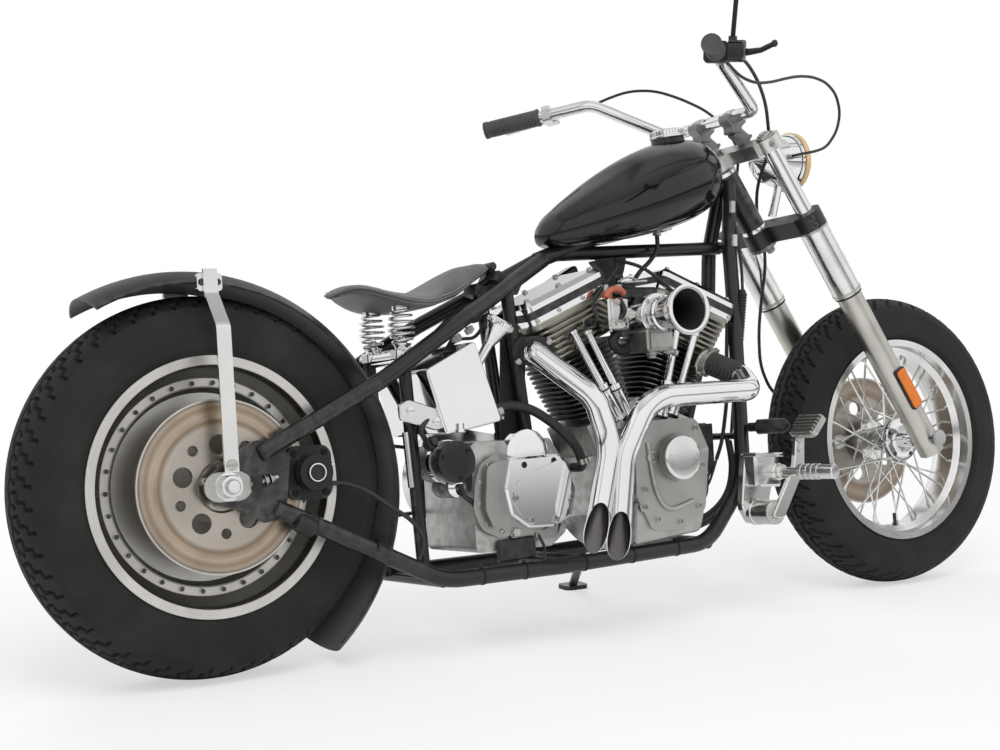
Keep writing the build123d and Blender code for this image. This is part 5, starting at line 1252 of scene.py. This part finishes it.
def make_oil_tank():
    """The oil tank's filler cap, drain plug, face rim and hose clamps, and the box on the rail."""
    neck = spot((496, -80, 492), (34, -24, 64), LEFT)
    cap = Form()
    cap.turned(neck, [(104, 24.4), (107, 26), (117, 26), (120, 23), (121.5, 15), (122, 3)], 56)
    for i in range(30):
        turn = 2 * pi * i / 30
        cap.turned(neck @ Matrix.Translation((25.8 * cos(turn), 25.8 * sin(turn), 108)),
                   [(0, 1.1), (8, 1.1)], 8)
    cap.turned(spot((446, -120, 398), DOWN), [(-10, 8), (0, 8), (0.5, 11), (6, 11), (7, 8)], 24)
    cap.make("oil_cap", CHROME, "frame", "chrome")
    seam = Form()
    rim = softened([(386, 505), (487, 553), (533, 410), (419, 391)], 7)
    seam.swept([(x, -117.4, z) for x, z in rim], 1.6, 8, BIKE, True)
    seam.make("oil_tank_seam", POLISHED, "frame", "chrome")
    clamps = Form()
    for place, along in (((549, -86.5, 425), (0.954, 0, 0.3)), ((712, -110, 324), (0.3, 0, -1))):
        at = spot(place, along)
        clamps.ring(at, [(-5, 9.2), (5, 9.2), (5, 10.6), (-5, 10.6)], 32)
        clamps.turned(at @ Matrix.Translation((12, 0, 0)) @ Matrix.Rotation(pi / 2, 4, "X"),
                      [(-7, 3.4), (7, 3.4), (8, 2.6)], 12)
    clamps.make("hose_clamps", STEEL, "frame", "chrome")
    # black box hung on the rail under the gearbox
    black = Form()
    black.prism(plate(-113), softened([(510, 152), (590, 156), (588, 196), (512, 192)], 6), 0, 12, 3)
    black.cord([(596, -122, 196), (604, -128, 172), (600, -132, 148)], 16, 3, 8)
    black.make("rail_box", SATIN_BLACK, "frame", "satin_black")


make_oil_tank()


def make_wiring():
    """Cables along the lower rail and down tube, and the corrugated sleeve beside the neck."""
    black, pale, clips = Form(), Form(), Form()
    for y, rise, r in ((-104, 0, 6.5), (-96, 7, 4.5), (-112, -4, 3.2)):
        black.cord([(800, y, 166 + rise), (850, y, 168 + rise), (950, y, 176 + rise),
                    (1015, y - 4, 196 + rise),
                          (1062, y, 232 + rise), (1086, y * 0.9, 282 + rise), (1096, y * 0.7, 340 + rise)],
                          60, r, 10)
    black.cord([(842, -118, 196), (890, -110, 188), (960, -112, 206), (1000, -108, 238), (1010, -104, 270),
                (1042, -84, 292)], 50, 3.4, 8)
    black.cord([(1064, -70, 306), (1086, -66, 350), (1112, -58, 440), (1124, -50, 520), (1150, -34, 640)],
               50, 4, 8)
    black.cord([(1010, -60, 250), (1002, -86, 286), (1012, -92, 330), (1050, -72, 352)], 40, 3.2, 8)
    black.cord([(1030, -58, 240), (1024, -92, 262), (1040, -96, 300), (1066, -80, 330)], 40, 2.6, 8)
    black.make("wiring", BLACK_RUBBER, "frame", "black_rubber")
    ribs = [(0, 6), (4, 7.4)]
    for i in range(16):
        ribs += [(6 + 6.2 * i, 8.2), (7.4 + 6.2 * i, 10.2), (9.6 + 6.2 * i, 10.2), (11 + 6.2 * i, 8.2)]
    ribs += [(108, 7), (112, 5)]
    boot = Form()
    boot.turned(spot((1156, -52, 540), (16, -4, 108)), ribs, 24)
    boot.cord([(1172, -56, 650), (1176, -52, 700), (1180, -40, 760), (1184, -20, 820)], 30, 3.2, 8)
    boot.cord([(1156, -52, 541), (1150, -48, 490), (1140, -44, 430), (1122, -50, 352)], 30, 3.2, 8)
    boot.make("cable_boot", BLACK_RUBBER, "frame", "black_rubber")
    for z in (742, 812):
        pale.prism(spot((1163, -50, z), (0.1, 0, 1), AHEAD), rounded(5, 4, 1.2), 0, 24, 0.8)
    pale.make("neck_connectors", WHITE, "frame", "black_rubber")
    # bearing cups at both ends of the head tube
    for s, along in ((575, -1), (716.5, 1)):
        clips.ring(spot((0, 0, s), (0, 0, along), AHEAD, FORK),
                   [(-6, 26.4), (0, 27.6), (2.4, 27.6), (4, 24), (4, 16), (-6, 16)], 48)
    clips.make("bearing_cups", CHROME, "frame", "chrome")
    # coil cover and engine's head steady
    steady = Form()
    steady.prism(plate(-12), softened([(834, 716), (912, 722), (902, 690), (880, 664), (866, 664),
                                       (856, 692)], 8), -24, 0, 2)
    steady.make("head_steady", SATIN_BLACK, "frame", "satin_black")
    cover = Form()
    cover.prism(plate(56), softened([(628, 606), (636, 598), (846, 692), (842, 712), (832, 714)], 6), -26, 0,
                4)
    cover.make("coil_cover", CHROME, "frame", "chrome")


make_wiring()


# ---------------------------------------------------------------- foot controls
def make_controls():
    """Brackets, pivots, knurled pegs and ribbed pads on their arms, pinch bolts and signal pods' tips."""
    cast, peg, pad, bright, pods = Form(), Form(), Form(), Form(), Form()
    for side in (-1, 1):
        out = (0, side, 0)

        def flank(y):
            return spot((0, side * y, 0), out)

        def facing(outline):
            return outline if side < 0 else [(x, -z) for x, z in reversed(outline)]

        back = softened([(1070, 176), (1110, 184), (1134, 262), (1128, 312), (1066, 316), (1050, 210)], 8)
        cast.prism(flank(142), facing(back), 0, 16, 2.5)
        cast.turned(spot((1092, side * 127, 268), out), [(0, 10), (16, 10)], 28)
        cast.prism(flank(156), facing(softened([(1064, 250), (1130, 246), (1130, 310), (1064, 314)], 6)), 0,
                   33, 5)
        cast.prism(flank(156), facing(softened([(1062, 309), (1132, 305), (1132, 313), (1062, 317)], 2)), 0,
                   40, 2)
        cast.turned(spot((1084, side * 157, 199), out), [(0, 26), (10, 26), (12, 24), (57, 24)], 56)
        cast.turned(spot((1118, side * 160, 276), out), [(0, 17), (34, 17), (36, 14), (46, 14), (48, 12)], 40)
        arm = softened([(1070, 190), (1100, 186), (1160, 280), (1166, 352), (1144, 356), (1134, 288)], 10)
        cast.prism(flank(214), facing(arm), 0, 10, 2)
        # pad: a plate that faces back and up, ribbed across, with a rounded outer end
        face = spot((1156, side * 244, 362), (-0.755, 0, 0.656), out)
        pad.prism(face, rounded(36, 25, 11), -5, 7, 2)
        for k in range(6):
            pad.prism(face @ Matrix.Translation((-1, 20 - 8 * k, 0)), rounded(31, 2.3, 1.6), 6.5, 10.5, 1)
        pad.prism(face @ Matrix.Translation((-26, -10, 0)), rounded(9, 20, 4), -16, -4, 2)
        tip, root = Vector((1148, side * 324, 274)), Vector((1128, side * 241.3333, 275.3333))
        run = (tip - root).normalized()
        length = (tip - root).length
        peg.turned(spot((1118, side * 200, 276), root - Vector((1118, side * 200, 276))),
                   [(0, 9), (40, 8.6), (43, 9)], 28)
        peg.turned(spot(root, run), [(0, 9), (1, 13.4), (52, 13.4), (53, 14.6), (length - 3, 15),
                                     (length - 0.6, 13), (length, 4)], 40)
        for k in range(4):
            band = spot(root + run * (3 + 12.4 * k), run)
            peg.ring(band, [(0, 14), (1, 15.1), (8.4, 15.1), (9.4, 14)], 40)
            for tooth in range(20):
                turn = 2 * pi * tooth / 20
                peg.prism(band @ Matrix.Rotation(turn, 4, "Z") @ Matrix.Translation((14.9, 0, 4.7))
                          @ Matrix.Rotation(pi / 2, 4, "Y"),
                          rounded(3.2, 1.1, 0.4, 1), -1, 0.7, 0.3)
        bright.turned(spot((1084, side * 214, 199), out),
                      [(0, 24), (2, 24), (4, 21), (4.4, 12), (3, 11), (3, 0.5)], 48)
        bright.turned(spot((1084, side * 217.2, 199), out), [(0, 7), (3, 7), (4, 5.4)], 6)
        for x, z in ((1072, 300), (1120, 262), (1116, 296), (1068, 226)):
            bright.bolt(spot((x, side * 158.2, z), out), 5)
        bright.turned(spot((1150, side * 224, 318), out), [(0, 7), (3, 7), (4, 5)], 6)
        pods.turned(spot((1145.2, side * 184.4, 366), (0.43, side * 0.9, 0)),
                    [(0, 14.9), (3, 14.2), (9, 11), (13, 6), (14, 2)], 36)
        for k in range(5):
            at = spot((1117.4 + 1.5 * k, side * (114 + 4.4 * k), 366), (0.26, side * 0.96, 0))
            pods.ring(at, [(0, 6.5), (0.8, 9.2), (2.6, 9.2), (3.4, 6.5)], 28)
    control = cast.make("control_brackets", POLISHED, "frame", "polished_alloy")
    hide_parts("foot_controls")
    peg.make("knurled_pegs", POLISHED, "frame", "polished_alloy")
    pad.make("ribbed_pads", STEEL, "frame", "polished_alloy")
    bright.make("control_hardware", STEEL, "frame", "chrome")
    pods.make("signal_tips", SATIN_BLACK, "frame", "satin_black")


make_controls()


# ---------------------------------------------------------------- front end
def make_front_end():
    """Clamp bolts, fork caps and seals, axle pinch bolts, headlight rim and riser bolts."""
    bright, dark, black, amber = Form(), Form(), Form(), Form()
    for side in (-1, 1):
        def leg(s, along=UP, ahead=0.0, out=0.0):
            """A frame on this fork leg, s up the steering axis, moved ahead of it and out from it."""
            return spot((FORK_OFFSET + ahead, side * (LEG_Y + out), s), along, base=FORK)

        top = TOP_CLAMP_S + TOP_T
        bright.turned(leg(top + 2.8), [(-2, 21), (1, 21), (2, 19), (2, 15), (5, 14), (5.6, 9)], 40)
        bright.prism(leg(top + 7), hexagon(9), 0, 4, 1)
        for s in (LOW_CLAMP_S - 8, LOW_CLAMP_S + 9):
            dark.bolt(leg(s, (-0.5, side * 0.87, 0), -16, 27.5), 5)
        bright.bolt(leg(TOP_CLAMP_S + 14, (-0.5, side * 0.87, 0), -14, 25.5), 5)
        # dust seal where cover meets slider, and the slider's foot
        black.ring(leg(COVER_S), [(-5, 27.2), (-5, 29.6), (0, 30.6), (0, 27.2)], 48)
        bright.ring(leg(COVER_S + 2), [(0, 31.1), (1, 32), (5, 32), (6, 31.1)], 48)
        bright.ring(leg(LOW_CLAMP_S - 24), [(0, 31.2), (1, 32.2), (4, 32.2), (5, 31.2)], 48)
        bright.turned(leg(-34, DOWN), [(-0.5, 22), (2, 20), (3, 11), (2, 10), (2, 0.5)], 40)
        dark.bolt(leg(-16, AHEAD, 25.4, -2), 5)
        black.prism(spot((FORK_OFFSET, side * (LEG_Y + 27.1), 130), (0, side, 0), UP, FORK),
                    rounded(49, 15.5, 7), -1, 5, 1)
    bright.nut(spot((0, 0, TOP_CLAMP_S + TOP_T), UP, base=FORK), 19, 12)
    bright.turned(spot((0, 0, TOP_CLAMP_S + TOP_T + 11.5), UP, base=FORK), [(0, 12), (4, 12), (5, 10)], 32)
    bright.nut(spot((WHEELBASE, -161, FRONT_Z)), 15, 5)
    # stops below the lower clamp, and its black ring
    dark.ring(spot((0, 0, LOW_CLAMP_S - 18), DOWN, base=FORK), [(0, 20), (0, 31), (6, 31), (9, 26), (9, 20)],
              48)
    dark.turned(spot((10, 0, LOW_CLAMP_S - 20), (0.2, 0, -1), base=FORK), [(0, 12), (22, 9), (24, 6)], 24)
    bright.make("fork_hardware", STEEL, "steering", "chrome")
    dark.make("clamp_bolts", DARK_METAL, "steering", "satin_black")
    black.make("fork_seals", BLACK_RUBBER, "steering", "black_rubber")
    # headlight: amber-toned rim, screw, and visor bracket bolt
    lamp = spot((LAMP_X, 0, LAMP_Z), AHEAD, UP)
    amber.ring(lamp, [(-13.5, 62.2), (-12, 64.4), (-3, 64.4), (0.2, 62), (0.2, 56.6), (-2, 60)], 96)
    amber.make("headlight_rim", AMBER_RIM, "steering", "chrome")
    trim = Form()
    trim.ring(lamp, [(-20, 57.6), (-20, 59.6), (-15, 61.4), (-14.2, 57)], 80)
    trim.turned(spot((LAMP_X - 42, -12, LAMP_Z - 50), LEFT), [(0, 5), (24, 5), (25, 3.6)], 20)
    trim.turned(spot((LAMP_X - 8, 0, LAMP_Z - 64), DOWN), [(0, 3.6), (4, 3.6), (5, 2.6)], 16)
    trim.ring(lamp, [(-78, 43.5), (-78, 45.4), (-74, 46.4), (-74, 44)], 72)
    trim.make("headlight_trim", CHROME, "steering", "chrome")
    # risers: a broad head under the bar on a narrower stem, with a thin strap over the bar
    blocks, straps = Form(), Form()
    foot = BIKE.inverted() @ (FORK @ Vector(((BAR_X - STEER_AT[0]) * C + (BAR_Z - STEER_AT[2]) * S, 0,
                                             TOP_CLAMP_S + TOP_T)))
    for side in (-1, 1):
        head = spot((BAR_X, side * 52, BAR_Z))
        blocks.prism(head, softened([(-25, -12), (-13, -21), (-13, -36), (13, -36), (13, -21), (25, -12),
                                     (25, 3), (-25, 3)], 4), -15, 15, 2)
        stem = Vector((BAR_X, side * 52, BAR_Z - 30)) - Vector((foot.x, side * 52, foot.z))
        at = spot((foot.x, side * 52, foot.z), stem)
        blocks.prism(at, rounded(13, 13, 5), 0, stem.length, 1)
        blocks.prism(at, rounded(16, 15, 5), 0, 4, 1.5)
        straps.ring(head, [(-9, 12.9), (-9, 15.4), (9, 15.4), (9, 12.9)], 40)
        for x in (-18, 18):
            straps.bolt(spot((BAR_X + x, side * 52, BAR_Z + 3), UP), 4)
    blocks = blocks.make("riser_blocks", RISER_METAL, "steering", "raw_alloy")
    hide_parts("risers")
    straps.make("bar_straps", STEEL, "steering", "raw_alloy")


make_front_end()


def make_bar_ends():
    """Ribbed grips, reservoir lid, lever pivots and mirror glass."""
    half_bar = [(1160, -142, 1007), (1012, -222, 1086), (852, -397, 1057)]
    end = Vector(half_bar[-1])
    along = (end - Vector(half_bar[-2])).normalized()
    ribs = [(0, 17.2), (1, 19.6), (6, 19.6), (7, 17.4)]
    for i in range(17):
        ribs += [(9 + 6.2 * i, 17.3), (9.8 + 6.2 * i, 18.4), (13.2 + 6.2 * i, 18.4), (14 + 6.2 * i, 17.3)]
    ribs += [(116, 17.4), (117.5, 18.6), (121.6, 18.6)]
    at = end - along * 150
    forward = Vector(AHEAD) - along * along.x
    forward.normalize()
    up = along.cross(forward)
    up = up if up.z > 0 else -up
    lid, body = Form(), Form()
    perch = at + forward * 22 + along * 12
    body.prism(spot(at, along, forward), rounded(23, 20, 8), 0, 24, 2)
    body.prism(spot(perch, forward, along), rounded(22, 17, 6), 0, 30, 3)
    tip = perch + forward * 88 + along * 46 + Vector((0, 0, 12))
    body.swept([perch + forward * 24, perch + forward * 40 + along * 6,
                perch + forward * 62 + along * 22 + up * 2, tip],
               [8, 6.4, 5.2, 5], 20)
    body.turned(spot(tip, forward), [(-6, 3)] + [(-6 + 12 * k / 8,
                                                  max(0.5, (36 - (-6 + 12 * k / 8) ** 2) ** 0.5 + 0.8))
                                                  for k in range(1, 9)], 24)
    master = body.make("brake_master", LEVER_BLACK, "steering", "satin_black")
    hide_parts("brake_control")
    lid_at = Matrix((along, forward, up)).transposed().to_4x4()
    place = BIKE @ Matrix.Translation(perch + forward * 15 + up * 17) @ lid_at
    lid.prism(place, rounded(21.5, 14.5, 5), 0, 3.4, 1.2)
    for x in (-15, 15):
        lid.turned(place @ Matrix.Translation((x, 0, 3.2)),
                   [(0, 3), (1, 3), (1.2, 2.4), (0.6, 2), (0.6, 0.3)], 16)
    lid.turned(spot(perch + forward * 27 - up * 19 + along * 12, up),
               [(0, 5), (3, 5), (3, 7), (38, 7), (38, 5), (40, 5)], 24)
    lid.make("reservoir_lid", DARK_METAL, "steering", "satin_black")
    for side, name in ((1, "right_grip_ribs"), (-1, "left_grip_ribs")):
        flip = BIKE @ Matrix.Diagonal((1, side, 1, 1))
        grip = Form()
        grip.turned(flip @ Matrix.Translation(end - along * 122)
                    @ spot((0, 0, 0), along, base=Matrix.Identity(4)), ribs, 48)
        if side < 0:
            grip.faces = [list(reversed(face)) for face in grip.faces]
        grip.make(name, GRIP, "steering", "grip_rubber", 30.0)
    # banjo bolts and cable ferrules
    fit = Form()
    out = perch + forward * 15 - along * 22.3
    fit.turned(spot(out, -along), [(0, 6.5), (3, 6.5), (4, 5), (14, 4.6)], 16)
    fit.turned(spot((LAMP_X - 62, -58.3, LAMP_Z)), [(0, 6.6), (3, 6.6), (4, 4.6), (16, 4)], 16)
    fit.make("cable_fittings", STEEL, "steering", "chrome")
    base = at + forward * 30 + along * 12 + up * 17.3
    tip = base + up * 12 + Vector((-20, -60, 140))
    glass = Form()
    face = spot(tip + Vector((0, 0, 45)), (-1, 0, 0.1), UP)
    glass.turned(face, [(9.4, 43.5), (10.4, 43.5), (10.9, 42), (11, 5)], 64)
    glass.make("mirror_glass", MIRROR_GLASS, "steering", "chrome")
    rim = Form()
    rim.ring(face, [(-9, 47.6), (-6, 48.2), (6, 48.2), (11.2, 47), (11.6, 44), (9, 43.4), (9, 47)], 80)
    rim.turned(face, [(-17, 4), (-15.5, 20), (-12, 34), (-9.5, 44)], 64)
    rim.make("mirror_rim", SATIN_BLACK, "steering", "satin_black")


make_bar_ends()


# ---------------------------------------------------------------- studio
FLOOR_HALF = 30.0                  # metres
FADE_NEAR, FADE_FAR = 1.2, 3.2     # where the floor begins and ends its fade to white
AMBIENT = 0.55                     # the pale world's strength


def make_floor():
    """A pale floor that keeps the shadow near the bike and fades to the white backdrop beyond."""
    mesh = bpy.data.meshes.new("floor")
    corners = [(x * FLOOR_HALF, y * FLOOR_HALF, 0) for x, y in ((-1, -1), (1, -1), (1, 1), (-1, 1))]
    mesh.from_pydata(corners, [], [(0, 1, 2, 3)])
    floor = bpy.data.objects.new("floor", mesh)
    bpy.context.scene.collection.objects.link(floor)
    mat, tree, shader = new_material("floor_pale")
    shader.inputs["Base Color"].default_value = (0.93, 0.93, 0.93, 1)
    shader.inputs["Roughness"].default_value = 0.7
    shader.inputs["Specular IOR Level"].default_value = 0.1
    white = node(tree, "ShaderNodeEmission", Color=(1, 1, 1, 1), Strength=1.0)
    length = node(tree, "ShaderNodeVectorMath", operation="LENGTH")
    tree.links.new(coords(tree), length.inputs[0])
    far = span(tree, length.outputs["Value"], 0.55, 1.0, FADE_NEAR, FADE_FAR)
    seen = node(tree, "ShaderNodeLightPath").outputs["Is Camera Ray"]
    mix = node(tree, "ShaderNodeMixShader")
    tree.links.new(math(tree, "MULTIPLY", far, seen), mix.inputs["Fac"])
    tree.links.new(shader.outputs[0], mix.inputs[1])
    tree.links.new(white.outputs[0], mix.inputs[2])
    tree.links.new(mix.outputs[0], tree.nodes["Material Output"].inputs["Surface"])
    mesh.materials.append(mat)


def make_world():
    """An even pale world; the camera sees it white, and gloss sees a white studio with dark gaps."""
    world = bpy.data.worlds.new("studio")
    bpy.context.scene.world = world
    world.use_nodes = True
    tree = world.node_tree
    light = tree.nodes["Background"]
    light.inputs["Color"].default_value = (1, 1, 1, 1)
    light.inputs["Strength"].default_value = AMBIENT
    direction = node(tree, "ShaderNodeTexCoord").outputs["Generated"]
    parts = node(tree, "ShaderNodeSeparateXYZ")
    tree.links.new(direction, parts.inputs[0])
    height = span(tree, parts.outputs["Z"], 0.0, 1.0, -1.0, 1.0)
    grey = lambda level: (level, level, level)
    rise = ramp(tree, height, (0.0, grey(0.85)), (0.47, grey(0.95)), (0.488, grey(0.2)), (0.505, grey(0.1)),
                (0.525, grey(0.35)), (0.545, grey(0.96)), (0.8, grey(1.0)), (0.9, grey(1.0)),
                (0.94, grey(0.6)), (1.0, grey(0.9)))
    turn = math(tree, "ARCTAN2", parts.outputs["Y"], parts.outputs["X"])
    around = ramp(tree, span(tree, turn, 0.0, 1.0, -pi, pi), (0.0, grey(1.0)), (0.05, grey(0.95)),
                  (0.07, grey(0.3)),
                  (0.09, grey(1.0)), (0.46, grey(1.0)), (0.485, grey(0.25)), (0.51, grey(1.0)),
                  (0.66, grey(0.95)),
                  (0.69, grey(0.3)), (0.72, grey(0.95)), (1.0, grey(1.0)))
    both = node(tree, "ShaderNodeMix", data_type="RGBA", blend_type="MULTIPLY")
    both.inputs["Factor"].default_value = 0.85
    tree.links.new(rise, both.inputs[6])
    tree.links.new(around, both.inputs[7])
    studio = node(tree, "ShaderNodeBackground", Strength=1.0)
    tree.links.new(both.outputs[2], studio.inputs["Color"])
    white = node(tree, "ShaderNodeBackground", Color=(1, 1, 1, 1), Strength=1.0)
    path = node(tree, "ShaderNodeLightPath")
    gloss = math(tree, "MAXIMUM", path.outputs["Is Glossy Ray"], path.outputs["Is Transmission Ray"])
    last = light.outputs[0]
    for factor, seen in ((gloss, studio), (path.outputs["Is Camera Ray"], white)):
        mix = node(tree, "ShaderNodeMixShader")
        tree.links.new(factor, mix.inputs["Fac"])
        tree.links.new(last, mix.inputs[1])
        tree.links.new(seen.outputs[0], mix.inputs[2])
        last = mix.outputs[0]
    tree.links.new(last, tree.nodes["World Output"].inputs["Surface"])


def make_lamp(name, place, aim, size, power):
    """A square soft lamp aimed at a point."""
    data = bpy.data.lights.new(name, "AREA")
    data.size = size
    data.energy = power
    lamp = bpy.data.objects.new(name, data)
    lamp.visible_glossy = False  # gloss sees the studio in the world, without hard-edged lamps
    bpy.context.scene.collection.objects.link(lamp)
    lamp.location = place
    lamp.rotation_euler = (Vector(aim) - Vector(place)).to_track_quat("-Z", "Y").to_euler()


CAMERA_AT, CAMERA_AIM, CAMERA_UP = (-915.1, -2544.9, 401.0), (0.5133, 0.8576, 0.0321), (0.0352, -0.0584,
    0.9977)
SENSOR, FOCAL_PX, PICTURE_PX = 36.0, 1550.0, 1000.0


def make_camera():
    """The main viewpoint, low on the right and behind, given in the upright bike frame."""
    data = bpy.data.cameras.new("camera")
    data.sensor_width = SENSOR
    data.lens = SENSOR * FOCAL_PX / PICTURE_PX
    camera = bpy.data.objects.new("camera", data)
    bpy.context.scene.collection.objects.link(camera)
    turn = TILT.to_3x3()
    back = -(turn @ Vector(CAMERA_AIM)).normalized()
    right = (turn @ Vector(CAMERA_UP)).cross(back).normalized()
    axes = Matrix((right, back.cross(right), back)).transposed().to_4x4()
    camera.matrix_world = Matrix.Translation(BIKE @ Vector(CAMERA_AT)) @ axes
    bpy.context.scene.camera = camera


make_floor()
make_world()
make_camera()
make_lamp("key", (-1.2, -2.2, 3.4), (0.1, 0, 0.4), 2.4, 70)
make_lamp("fill", (2.8, -1.6, 2.2), (0.2, 0, 0.5), 2.0, 25)
make_lamp("back", (-0.5, 3.0, 2.8), (0, 0, 0.5), 2.6, 50)
bpy.context.scene.view_settings.view_transform = "Standard"
